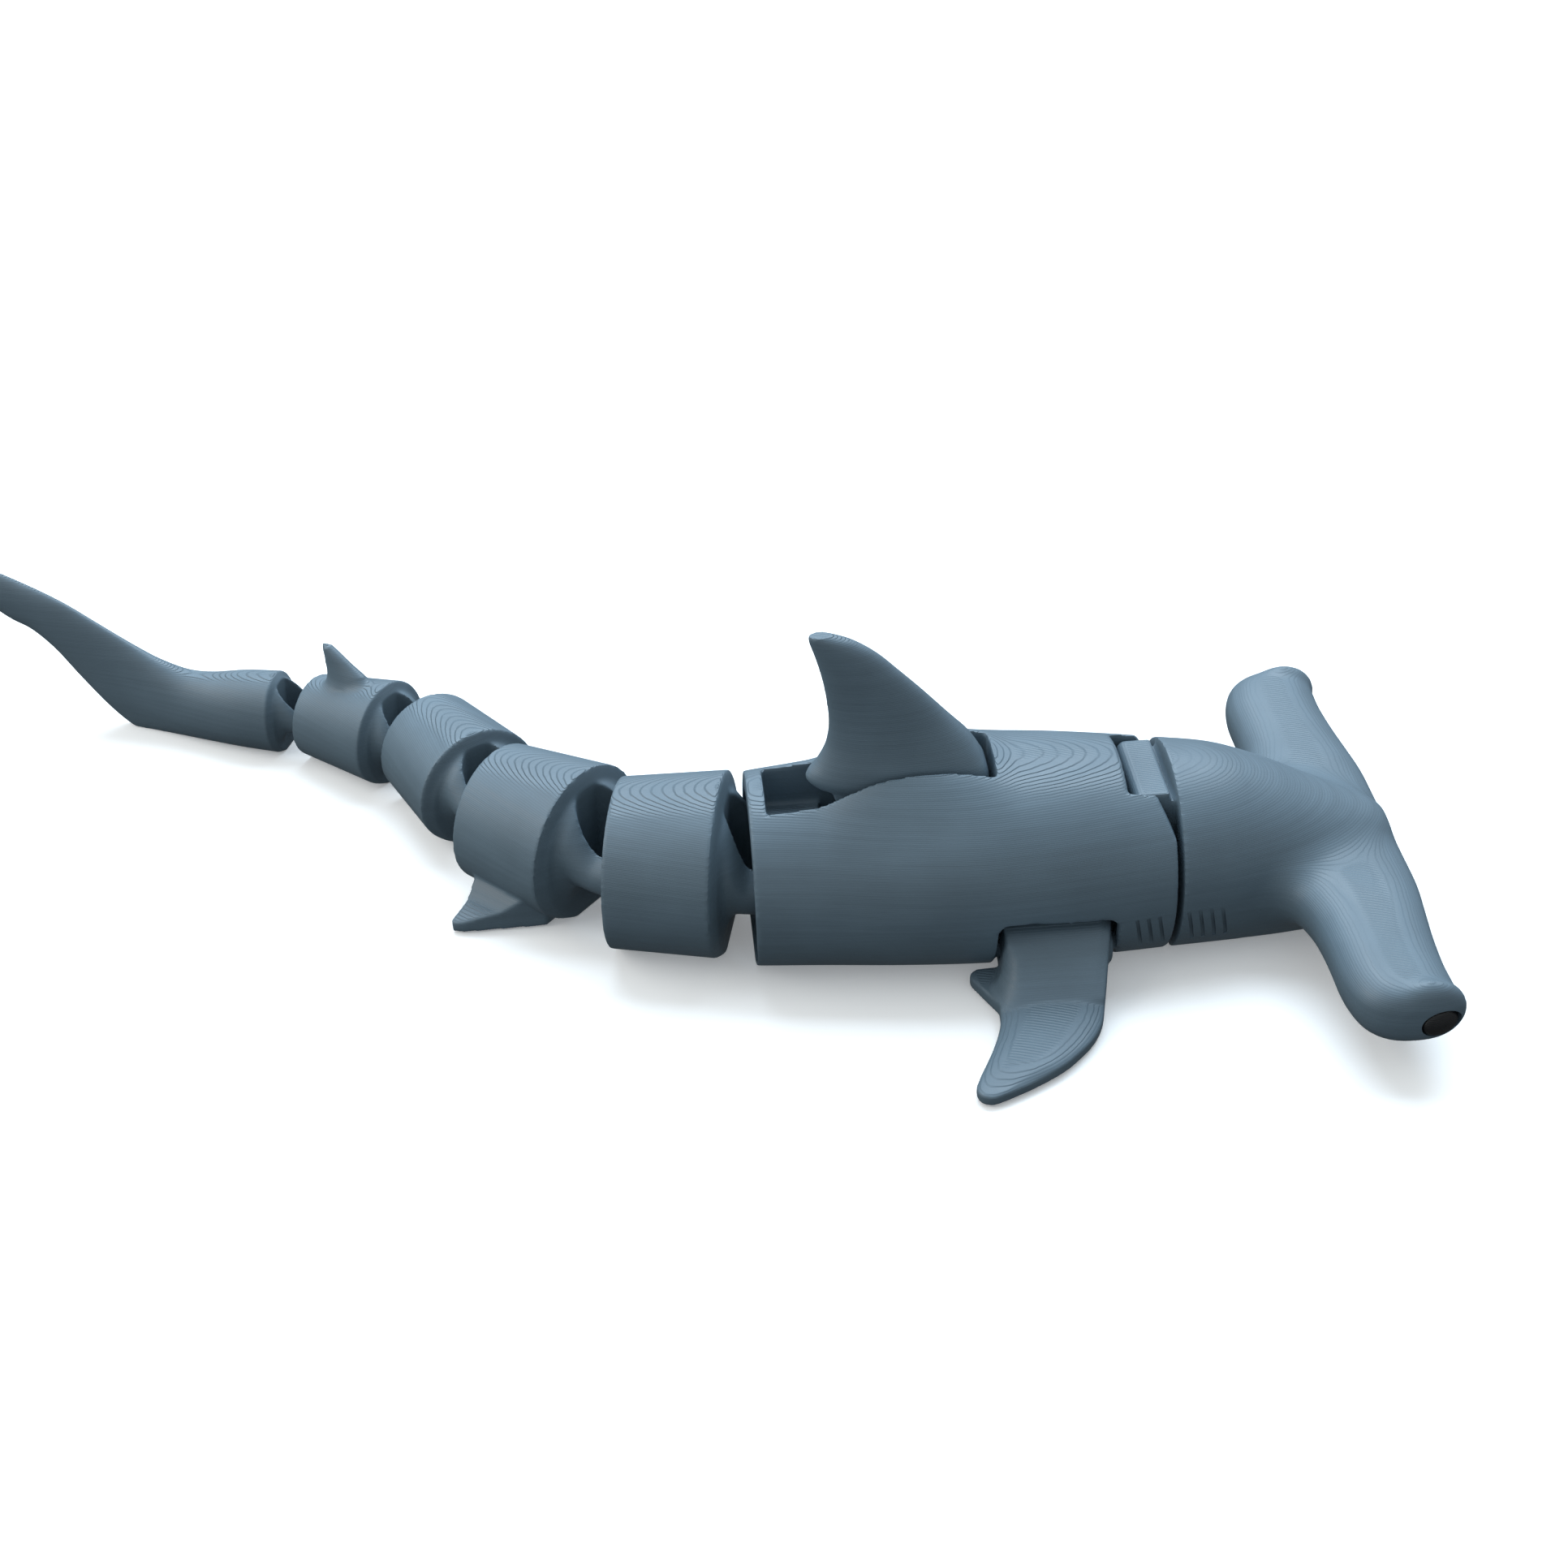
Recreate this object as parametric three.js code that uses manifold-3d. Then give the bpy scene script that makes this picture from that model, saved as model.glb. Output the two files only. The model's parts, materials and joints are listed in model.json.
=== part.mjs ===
// Articulated hammerhead shark toy, printed in place in one matte blue-grey plastic.
// It lies on its flat belly. Millimetres and degrees; +X towards the head, +Y its left side, +Z up.
// The origin is the middle of the flat belly of the torso.
import * as THREE from "three";
import { mergeVertices } from "three/addons/utils/BufferGeometryUtils.js";
import Module from "manifold-3d";

const wasm = await Module();
wasm.setup();

// Finish of the two plastics
const BODY_COLOUR = 0x6f8799;
const EYE_COLOUR = 0x15161a;
const BODY_ROUGHNESS = 0.55;
const EYE_ROUGHNESS = 0.45;

// Torso, from its tail rim to its head face
const TORSO_REAR = -30;
const TORSO_FRONT = 27.6;
const HEAD_GAP = 0.8;
const HEAD_REAR = TORSO_FRONT + HEAD_GAP;

// Outline of body and head: place along X, half width, height of the crest, half width of the flat belly
const BODY_STATIONS = [
  { x: -30, halfWidth: 13.6, height: 26.2, belly: 5.8 },
  { x: -20, halfWidth: 14.9, height: 27.0, belly: 6.9 },
  { x: -10, halfWidth: 16.3, height: 28.2, belly: 8.2 },
  { x: 0, halfWidth: 17.0, height: 29.3, belly: 9.3 },
  { x: 10, halfWidth: 16.8, height: 28.8, belly: 9.7 },
  { x: 20, halfWidth: 15.9, height: 27.8, belly: 9.5 },
  { x: 28, halfWidth: 14.9, height: 26.8, belly: 9.1 },
];
const HEAD_STATIONS = [
  { x: 28, halfWidth: 14.9, height: 26.8, belly: 9.1 },
  { x: 36, halfWidth: 13.8, height: 25.6, belly: 8.8 },
  { x: 43, halfWidth: 12.6, height: 23.0, belly: 8.4 },
  { x: 49, halfWidth: 11.6, height: 20.0, belly: 7.6 },
  { x: 55, halfWidth: 10.2, height: 17.2, belly: 6.4 },
  { x: 59, halfWidth: 8.4, height: 15.4, belly: 4.6 },
  { x: 61, halfWidth: 6.2, height: 13.8, belly: 3.0 },
];
const WIDEST_SHARE = 0.43; // height of the widest line, as a share of the crest height
const RING_SIDES = 30;
const STATION_STEP = 3.4;

// Raised fairing on the back, round the foot of the dorsal fin
const FAIRING = { middle: -7.5, halfLength: 15, halfWidth: 9.6, rise: 2.0, depth: 6 };

// Slot for the dorsal fin, and the fin's hinge pin across it
const SLOT_HALF_WIDTH = 5.25;
const SLOT_REAR = -27.6;
const SLOT_FRONT = 3.8;
const SLOT_SHELF = 19.2;
const SLOT_TOP = 60; // well above the back, for cutters
const SLOT_FLOOR = [
  // X and Z of the slot's floor, from its rear shelf down to the well under the fin's hub and up to its front
  [-19.6, SLOT_SHELF],
  [-19.6, 17.2],
  [-16.6, 14.8],
  [-13.6, 11.6],
  [-1, 16.4],
  [SLOT_FRONT, 17.2],
];
const SHELF_WALL = 1.6;
const MOUTH_TOP = 23.0; // top of the opening under the bar that closes the slot at the rear
const FIN_PIVOT = { x: -1.5, z: 22 };
const FIN_PIN_RADIUS = 1.5;
const FIN_HUB_RADIUS = 4.6;
const RUNNING_GAP = 0.4;
const FIN_SIDE_GAP = 0.7;
const FIN_FOOT = [
  // X and Z of the fin's foot, which stands in the slot
  [-17.2, 22.6],
  [-6, 19.0],
  [-1, 18.2],
  [3.2, 21],
  [3.4, 26.6],
  [-18.6, 26.6],
];

// Knuckle between head and torso: a tab on the head in a notch of the torso, with a pin across
const NECK_PIVOT = { x: 25.4, z: 20.3 };
const NECK_PIN_RADIUS = 1.5;
const TAB = { rear: 22.6, halfWidth: 6.7, low: 15.5, high: 25.0, rounding: 2.5 };
const NOTCH = { rear: 21.6, halfWidth: 7.1, low: 14.4 };
const FACE_CUT = { vertex: 20.6, slope: 25 }; // the torso's face leans back above this height

// Pectoral fins and their sockets
const SOCKET = { rear: 2.7, front: 20.1, inner: 7.2, ceiling: 11.0, mouth: 11.7, rounding: 3 };
const PECTORAL_PIVOT = { y: 11.6, z: 4.1 };
const PECTORAL_PIN_RADIUS = 1.2;
const PECTORAL_BARREL_RADIUS = 3.1;
const PECTORAL_LIFT = 0.3;
const PECTORAL_END_GAP = 0.9;
const PECTORAL_ROOT = [
  // Y and Z of the thick root that stands in the socket and slopes down to the blade
  [9.2, 0],
  [9.2, 7.0],
  [11.4, 8.9],
  [13.6, 9.8],
  [15, 9.2],
  [22.8, 2.9],
  [23, 0],
];
const PECTORAL_BLADE = [
  // Y and Z of the thin blade
  [9, 0],
  [9, 2.2],
  [19, 2.5],
  [23, 2.9],
  [34, 2.7],
  [42, 1.6],
  [42, 0],
];

// Hammer
const HAMMER_HALF_SPAN = 39.6;
const HAMMER_MIDDLE_HEIGHT = 9.6;
const HAMMER_STATIONS = [
  // distance from the middle plane, rear edge, front edge, half thickness
  { y: 0, rear: 42, front: 61.9, half: 5.0 },
  { y: 7, rear: 42, front: 61.8, half: 5.0 },
  { y: 12, rear: 42.4, front: 61.8, half: 5.0 },
  { y: 15, rear: 43.8, front: 61.6, half: 5.0 },
  { y: 19, rear: 45.2, front: 61.1, half: 4.9 },
  { y: 25, rear: 45.7, front: 60.4, half: 4.8 },
  { y: 31, rear: 45.7, front: 60.0, half: 4.8 },
  { y: 34.2, rear: 46.1, front: 60.1, half: 4.8 },
  { y: 36.9, rear: 47.4, front: 60.0, half: 4.6 },
  { y: 38.7, rear: 49.8, front: 59.3, half: 3.9 },
  { y: HAMMER_HALF_SPAN, rear: 52.4, front: 57.4, half: 2.2 },
];
const HAMMER_ROUNDING = { edge: 0.86, top: 0.8 }; // powers of the section, 1 for an ellipse
const EYE_BOSS = { x: 55.4, y: 36.7, z: 10.2, radii: [5.4, 3.2, 4.9] };
const EYE = { x: 56.9, y: 39.75, z: 9.4, length: 5.2, height: 4.2, depth: 2.4, gap: 0.2, turn: 16 };

// Gill slits, shallow grooves low on both sides
const GILLS = [22.6, 24.2, 25.8, 30.0, 31.6, 33.2, 34.8];
const GILL = { low: 3.9, high: 10.6, width: 0.5, depth: 0.42, lean: 18, slant: 12 };

// Tail: each piece turns on a pin in the open rear end of the piece ahead
const REAR_RIM = { halfWidth: 13.6, height: 26.0 };
const TAIL_STEPS = [
  // turn at rest, gap to the piece ahead, shell length, play of the loop ahead of its pin, and the two rims
  { turn: -12.8, gap: 2.9, length: 16.0, play: 2.6, headRim: [13.3, 25.6], tailRim: [12.2, 23.6] },
  { turn: -27.7, gap: 6.0, length: 17.5, play: 0, headRim: [11.8, 22.7], tailRim: [10.4, 20.2] },
  { turn: -20, gap: 7.2, length: 17.0, play: 0, headRim: [9.9, 18.4], tailRim: [8.6, 16.4] },
  { turn: 24, gap: 6.2, length: 15.8, play: 0, headRim: [8.1, 16.4], tailRim: [6.3, 13.1] },
  { turn: 17, gap: 5.4, length: 0, play: 0, headRim: [5.6, 13.2], tailRim: [5.6, 13.2] },
];
const BELLY_SHARE = 0.38;
const PIN_INSET_SHARE = 0.27;
const PIN_SHARE = 0.165;
const LOOP_HOLE_SHARE = 0.37;
const LOOP_END_SHARE = 0.56;
const LOOP_TOP_SHARE = 0.63; // top and underside of a loop, as shares of the height of the rim ahead
const LOOP_LOW_SHARE = 0.31;
const RIM_CHAMFER = { length: 0.8, share: 0.19 }; // share of the half width lost at a head rim
const NECK_FILLET = { length: 1.0, share: 0.83 };
const NECK_ARCH = { start: 0.4, rise: 2.2, fall: 1.6 }; // hollow under the neck
const WALL = 1.8;
const LIP = 1.0; // wall left at the very edge of an open rear end
const LIP_DEPTH = 1.4;
const FLOOR_WALL = 1.6;

// Caudal fin, with the tall upper lobe
const CAUDAL_STATIONS = [
  // distance behind the head rim, half width, low edge, high edge
  { x: 0, half: 5.6, low: 0, high: 13.2 },
  { x: 6, half: 5.3, low: 0, high: 12.6 },
  { x: 12, half: 4.4, low: 0, high: 11.6 },
  { x: 16, half: 3.7, low: 0, high: 11.7 },
  { x: 20.5, half: 2.9, low: 0, high: 13.3 },
  { x: 23.6, half: 2.4, low: 0, high: 15.0 },
  { x: 26.3, half: 2.1, low: 0, high: 16.6 },
  { x: 30, half: 1.9, low: 3.0, high: 18.8 },
  { x: 34.6, half: 1.7, low: 8.6, high: 21.5 },
  { x: 38, half: 1.6, low: 13.2, high: 23.1 },
  { x: 41.5, half: 1.5, low: 16.4, high: 24.5 },
  { x: 45, half: 1.4, low: 18.0, high: 25.8 },
  { x: 48.5, half: 1.2, low: 20.3, high: 27.0 },
  { x: 52, half: 1.0, low: 23.0, high: 27.8 },
  { x: 55, half: 0.7, low: 25.8, high: 28.3 },
];

// Small second dorsal fin: height above the rim's crest, rear and front edge behind the rim, and thickness
const SECOND_DORSAL = [
  { rise: -6, rear: -13.2, front: -0.6, thick: 6.4 },
  { rise: -2.4, rear: -12.6, front: -2.0, thick: 4.8 },
  { rise: -0.8, rear: -12.2, front: -3.8, thick: 3.4 },
  { rise: 1.2, rear: -12.3, front: -6.8, thick: 2.3 },
  { rise: 2.8, rear: -12.4, front: -9.4, thick: 1.6 },
  { rise: 3.7, rear: -12.5, front: -11.4, thick: 1.1 },
];

// Pelvic fin: Y and Z of its section, which thins outwards
const PELVIC_SECTION = [
  [4, 0.3],
  [18, 0.3],
  [18, 1.4],
  [12.5, 3.4],
  [9, 6.4],
  [4, 7],
];

// Dorsal fin, side outline at rest: height, rear edge, front edge, thickness, squareness of the front half
const FIN_LEVELS = [
  { z: 26.0, rear: -20.6, front: 3.2, thick: 9.1, square: 6 },
  { z: 27.2, rear: -21.8, front: 3.2, thick: 9.1, square: 6 },
  { z: 28.3, rear: -21.5, front: 3.0, thick: 8.8, square: 5 },
  { z: 29.6, rear: -20.5, front: 2.4, thick: 8.4, square: 4 },
  { z: 31.2, rear: -19.6, front: 1.6, thick: 7.8, square: 3.2 },
  { z: 33.0, rear: -18.9, front: 0.5, thick: 7.2, square: 2.6 },
  { z: 36.0, rear: -18.5, front: -2.1, thick: 6.3, square: 2.2 },
  { z: 40.0, rear: -18.8, front: -5.6, thick: 5.2, square: 2.0 },
  { z: 43.5, rear: -19.4, front: -8.9, thick: 4.4, square: 2.0 },
  { z: 46.6, rear: -20.2, front: -12.0, thick: 3.6, square: 2.0 },
  { z: 48.8, rear: -20.9, front: -15.2, thick: 2.8, square: 2.0 },
  { z: 49.9, rear: -21.1, front: -18.0, thick: 2.0, square: 2.0 },
];

const rad = THREE.MathUtils.degToRad;

// Solids: closed meshes with shared vertices
function solidOf(geometry) {
  const bare = geometry.clone();
  bare.deleteAttribute("normal");
  bare.deleteAttribute("uv");
  const merged = mergeVertices(bare, 1e-4);
  const made = new wasm.Manifold(
    new wasm.Mesh({
      numProp: 3,
      vertProperties: Float32Array.from(merged.attributes.position.array),
      triVerts: Uint32Array.from(merged.index.array),
    }),
  );
  return made;
}

// The largest closed body of a solid
function largest(solid) {
  return solid.decompose().reduce((a, b) => (b.volume() > a.volume() ? b : a));
}

function meshOf(name, solid, material) {
  const data = largest(solid).getMesh();
  const geometry = new THREE.BufferGeometry();
  geometry.setAttribute("position", new THREE.BufferAttribute(data.vertProperties, 3));
  geometry.setIndex(new THREE.BufferAttribute(data.triVerts, 1));
  geometry.computeVertexNormals();
  const mesh = new THREE.Mesh(geometry, material);
  mesh.name = name;
  return mesh;
}

// A closed skin over rings of equal count, each a loop of Vector3, with a fan at both ends
function loft(rings) {
  const sides = rings[0].length;
  const positions = [];
  const index = [];
  for (const ring of rings) for (const p of ring) positions.push(p.x, p.y, p.z);
  for (let r = 0; r + 1 < rings.length; r++)
    for (let s = 0; s < sides; s++) {
      const a = r * sides + s;
      const b = r * sides + ((s + 1) % sides);
      index.push(a, b, a + sides, b, b + sides, a + sides);
    }
  for (const [r, flip] of [[0, true], [rings.length - 1, false]]) {
    const middle = rings[r].reduce((sum, p) => sum.add(p), new THREE.Vector3()).divideScalar(sides);
    const hub = positions.length / 3;
    positions.push(middle.x, middle.y, middle.z);
    for (let s = 0; s < sides; s++) {
      const a = r * sides + s;
      const b = r * sides + ((s + 1) % sides);
      index.push(...(flip ? [hub, b, a] : [hub, a, b]));
    }
  }
  const geometry = new THREE.BufferGeometry();
  geometry.setAttribute("position", new THREE.Float32BufferAttribute(positions, 3));
  geometry.setIndex(index);
  const solid = solidOf(geometry);
  if (solid.volume() >= 0) return solid;
  const turned = new THREE.BufferGeometry();
  turned.setAttribute("position", new THREE.Float32BufferAttribute(positions, 3));
  for (let i = 0; i < index.length; i += 3) [index[i + 1], index[i + 2]] = [index[i + 2], index[i + 1]];
  turned.setIndex(index);
  return solidOf(turned);
}

// An outline in X and Z (or X and Y) pushed to a depth, centred on zero
function extruded(points, depth) {
  const shape = new THREE.Shape(points.map(([u, v]) => new THREE.Vector2(u, v)));
  return new THREE.ExtrudeGeometry(shape, { depth, bevelEnabled: false }).translate(0, 0, -depth / 2);
}

// A slab across the body from an outline in X and Z
function acrossBody(points, width) {
  return solidOf(extruded(points, width).rotateX(Math.PI / 2));
}

function rod(radius, length, axis, place, sides = 22) {
  const geometry = new THREE.CylinderGeometry(radius, radius, length, sides);
  if (axis === "x") geometry.rotateZ(Math.PI / 2);
  if (axis === "z") geometry.rotateX(Math.PI / 2);
  return solidOf(geometry.translate(place[0], place[1], place[2]));
}

function box(x0, x1, y0, y1, z0, z1) {
  const geometry = new THREE.BoxGeometry(x1 - x0, y1 - y0, z1 - z0);
  return solidOf(geometry.translate((x0 + x1) / 2, (y0 + y1) / 2, (z0 + z1) / 2));
}

// A smooth value between stations, through every one of them
function along(stations, key, x, value) {
  const last = stations.length - 1;
  const at = THREE.MathUtils.clamp(x, stations[0][key], stations[last][key]);
  let i = stations.findIndex((s, n) => n < last && at <= stations[n + 1][key]);
  if (i < 0) i = last - 1;
  const slope = (n) => {
    const a = stations[Math.max(0, n - 1)];
    const b = stations[Math.min(last, n + 1)];
    return (b[value] - a[value]) / (b[key] - a[key]);
  };
  const span = stations[i + 1][key] - stations[i][key];
  const t = (at - stations[i][key]) / span;
  const t2 = t * t;
  const t3 = t2 * t;
  return (
    (2 * t3 - 3 * t2 + 1) * stations[i][value] +
    (t3 - 2 * t2 + t) * span * slope(i) +
    (3 * t2 - 2 * t3) * stations[i + 1][value] +
    (t3 - t2) * span * slope(i + 1)
  );
}

// Domed section with a flat belly, in the plane across X
function section(x, halfWidth, height, belly, lift = 0, sides = RING_SIDES) {
  const widest = height * WIDEST_SHARE;
  const cut = Math.acos(belly / halfWidth);
  const lowDepth = widest / Math.sin(cut);
  const lower = Math.round(sides * 0.15);
  const flat = 4;
  const upper = sides - 2 * lower - flat;
  const points = [];
  const add = (y, z) => points.push(new THREE.Vector3(x, y, z + lift));
  for (let i = 0; i < lower; i++) {
    const t = -cut * (1 - i / lower);
    add(halfWidth * Math.cos(t), widest + lowDepth * Math.sin(t));
  }
  for (let i = 0; i <= upper; i++) {
    const t = (Math.PI * i) / upper;
    add(halfWidth * Math.cos(t), widest + (height - widest) * Math.sin(t));
  }
  for (let i = 1; i <= lower; i++) {
    const t = -cut * (i / lower);
    add(-halfWidth * Math.cos(t), widest + lowDepth * Math.sin(t));
  }
  for (let i = 1; i < flat; i++) add(-belly + (2 * belly * i) / flat, 0);
  return points;
}

function bodyLoft(stations, from, to) {
  const steps = Math.ceil((to - from) / STATION_STEP);
  const rings = [];
  for (let i = 0; i <= steps; i++) {
    const x = from + ((to - from) * i) / steps;
    rings.push(
      section(
        x,
        along(stations, "x", x, "halfWidth"),
        along(stations, "x", x, "height"),
        along(stations, "x", x, "belly"),
      ),
    );
  }
  return loft(rings);
}

// Low mound on the back that the dorsal fin grows from
function fairing() {
  const steps = 12;
  const rings = [];
  for (let i = 0; i <= steps; i++) {
    const t = (2 * i) / steps - 1;
    const x = FAIRING.middle + FAIRING.halfLength * t;
    const swell = Math.cos((Math.PI / 2) * t) ** 1.1;
    const base = along(BODY_STATIONS, "x", x, "height");
    const half = FAIRING.halfWidth * (0.45 + 0.55 * swell);
    const top = base - 1 + (FAIRING.rise + 1) * swell;
    const ring = [];
    for (let s = 0; s < 20; s++) {
      const a = (2 * Math.PI * s) / 20;
      const up = Math.sin(a) > 0 ? top - (base - FAIRING.depth) : 2;
      ring.push(new THREE.Vector3(x, half * Math.cos(a), base - FAIRING.depth + up * Math.sin(a)));
    }
    rings.push(ring);
  }
  return loft(rings);
}

// Room inside the rear end of a piece for the loop of the next one; the rim is at x = 0 and +X is ahead
function rearPocket(rim, depth, ceiling) {
  const inner = rim.halfWidth * LOOP_END_SHARE + 1.0;
  const mouth = rim.halfWidth - WALL;
  const flare = WALL - LIP;
  const rings = [
    section(-1, mouth + flare, ceiling - FLOOR_WALL + flare, mouth * 0.62, FLOOR_WALL),
    section(0, mouth + flare, ceiling - FLOOR_WALL + flare, mouth * 0.62, FLOOR_WALL),
  ];
  for (const t of [LIP_DEPTH / depth, 0.3, 0.55, 0.75, 0.9, 1]) {
    const share = Math.sqrt(Math.max(0, 1 - t ** 3));
    const half = Math.max(1.2, mouth * Math.max(share, 0.05) * (1 - 0.18 * t));
    const wide = t < 0.76 ? Math.max(half, inner * Math.min(1, 1.25 - 0.45 * t)) : half;
    rings.push(section(depth * t, wide, ceiling - FLOOR_WALL, wide * 0.62, FLOOR_WALL));
  }
  return loft(rings);
}

// Sizes of each tail piece and of the rim it hangs on
function tailPlan() {
  const rimOf = ([halfWidth, height]) => ({ halfWidth, height });
  const plan = [];
  let ahead = REAR_RIM;
  for (const { turn, gap, length, play, headRim, tailRim } of TAIL_STEPS) {
    const inset = ahead.halfWidth * PIN_INSET_SHARE;
    const reach = inset + gap;
    plan.push({ turn, ahead, inset, reach, play, headRim: rimOf(headRim), length, tailRim: rimOf(tailRim) });
    ahead = rimOf(tailRim);
  }
  return plan;
}

const chamferOf = (rim) => rim.halfWidth * RIM_CHAMFER.share;
const bellyOf = (rim) => rim.halfWidth * BELLY_SHARE;

// Depth of the pocket that takes the loop of the next piece
const pocketDepth = (step) => step.inset + step.play + step.ahead.halfWidth * LOOP_END_SHARE + 1.0;

// Vertical pin that joins floor and ceiling of a rear pocket
function hingePin(rim, x, ceiling) {
  return rod(rim.halfWidth * PIN_SHARE, ceiling + 2 - 0.6, "z", [x, 0, (ceiling + 2 + 0.6) / 2], 18);
}

// Neck of a tail piece: from its head rim at x = -reach to the round end of its loop about the pin at x = 0
function neck(step) {
  const { ahead, reach, play, headRim } = step;
  const end = ahead.halfWidth * LOOP_END_SHARE;
  const rootHalf = headRim.halfWidth - chamferOf(headRim);
  const rootTop = headRim.height - chamferOf(headRim);
  const loopTop = ahead.height * LOOP_TOP_SHARE;
  const loopLow = ahead.height * LOOP_LOW_SHARE;
  const rings = [];
  const add = (x, half, top, low) => rings.push(section(x, half, top - low, half * 0.7, low));
  add(-reach - 2, rootHalf * 0.98, rootTop, loopLow * NECK_ARCH.start);
  const waist = rootHalf * NECK_FILLET.share;
  const span = reach + play;
  for (const t of [0, NECK_FILLET.length / span, 0.3, 0.5, 0.75, 1]) {
    const fall = Math.min(1, ((t * span) / reach) * NECK_ARCH.fall);
    const ease = fall * fall * (3 - 2 * fall);
    const half = t === 0 ? rootHalf : waist + (end - waist) * Math.min(1, t * 1.1);
    const low = loopLow * Math.min(1, NECK_ARCH.start + Math.sqrt(t * NECK_ARCH.rise));
    add(-reach + span * t, half, rootTop + (loopTop - rootTop) * ease, low);
  }
  for (const turn of [22, 44, 64, 82]) {
    const a = rad(turn);
    add(play + end * Math.sin(a), Math.max(0.8, end * Math.cos(a)), loopTop, loopLow);
  }
  const hole = ahead.halfWidth * LOOP_HOLE_SHARE;
  const back = -(reach + 0.5) + hole;
  const tall = 60;
  const slot = rod(hole, tall, "z", [play, 0, 0], 22)
    .add(rod(hole, tall, "z", [back, 0, 0], 22))
    .add(box(Math.min(back, play), Math.max(back, play), -hole, hole, -tall / 2, tall / 2));
  return loft(rings).subtract(slot);
}

// Shell of a tail segment between its two rims, with its fins, the rear pocket and its pin
function segmentShell(step, next, fins) {
  const { reach, headRim, length, tailRim } = step;
  const rings = [];
  const small = {
    halfWidth: headRim.halfWidth - chamferOf(headRim),
    height: headRim.height - chamferOf(headRim),
  };
  rings.push(section(-reach, small.halfWidth, small.height, bellyOf(headRim) - 0.5));
  const steps = 4;
  for (let i = 0; i <= steps; i++) {
    const t = i / steps;
    const x = -reach - RIM_CHAMFER.length - (length - RIM_CHAMFER.length) * t;
    const rim = {
      halfWidth: THREE.MathUtils.lerp(headRim.halfWidth, tailRim.halfWidth, t),
      height: THREE.MathUtils.lerp(headRim.height, tailRim.height, t),
    };
    rings.push(section(x, rim.halfWidth, rim.height, bellyOf(rim)));
  }
  const rear = -reach - length;
  const ceiling = tailRim.height - 2.2;
  const pocket = rearPocket(tailRim, pocketDepth(next), ceiling).translate([rear, 0, 0]);
  const pin = hingePin(tailRim, rear + next.inset, ceiling);
  return fins.reduce((made, fin) => made.add(fin), loft(rings)).subtract(pocket).add(pin);
}

// Fin with a sloping side outline and a rounded rear edge: levels give height, edges, and thickness
function finLoft(levels, sides = 26) {
  return loft(
    levels.map(({ z, rear, front, thick, square }) => {
      const ring = [];
      for (let s = 0; s < sides; s++) {
        const a = (2 * Math.PI * s) / sides;
        const c = Math.cos(a);
        const w = Math.sin(a);
        const power = c > 0 ? 2 / square : 1;
        ring.push(
          new THREE.Vector3(
            (rear + front) / 2 + ((front - rear) / 2) * Math.sign(c) * Math.abs(c) ** power,
            (thick / 2) * Math.sign(w) * Math.abs(w) ** power,
            z,
          ),
        );
      }
      return ring;
    }),
  );
}

function dorsalFin() {
  const half = SLOT_HALF_WIDTH - FIN_SIDE_GAP;
  const lowest = FIN_LEVELS[0];
  const bottom = Math.min(...FIN_FOOT.map(([, z]) => z));
  const plan = finLoft([bottom - 1, lowest.z + 1].map((z) => ({ ...lowest, z })));
  const foot = acrossBody(FIN_FOOT, 2 * half).intersect(plan);
  const hub = rod(FIN_HUB_RADIUS, 2 * half, "y", [FIN_PIVOT.x, 0, FIN_PIVOT.z], 36);
  const bore = rod(FIN_PIN_RADIUS + RUNNING_GAP, 40, "y", [FIN_PIVOT.x, 0, FIN_PIVOT.z]);
  return finLoft(FIN_LEVELS).add(foot).add(hub).subtract(bore);
}

// Outline in X and Y of the left pectoral fin, from its front root round the tip to its rear root
function pectoralOutline() {
  const shape = new THREE.Shape();
  shape.moveTo(19.2, 11.4);
  shape.bezierCurveTo(18.6, 15, 17.2, 20, 16.2, 24.0);
  shape.bezierCurveTo(15.2, 28, 13.0, 30.4, 9.7, 33.3);
  shape.bezierCurveTo(7.0, 35.4, 3.0, 37.4, -0.5, 38.8);
  shape.bezierCurveTo(-2.2, 39.4, -3.7, 38.2, -3.1, 36.2);
  shape.bezierCurveTo(-1.8, 33.4, 0.6, 29.6, 1.8, 25.0);
  shape.bezierCurveTo(2.6, 21.6, 2.2, 18.8, 0.2, 16.6);
  shape.bezierCurveTo(-1.4, 15.2, -1.0, 13.6, 0.6, 13.4);
  shape.lineTo(3.6, 13.4);
  shape.lineTo(3.6, 11.4);
  return shape;
}

// A long bar along X from an outline in Y and Z
function alongBody(points, from, to) {
  const shape = new THREE.Shape(points.map(([y, z]) => new THREE.Vector2(y, z)));
  const geometry = new THREE.ExtrudeGeometry(shape, { depth: to - from, bevelEnabled: false });
  return solidOf(geometry.rotateX(Math.PI / 2).rotateZ(Math.PI / 2).translate(from, 0, 0));
}

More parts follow.
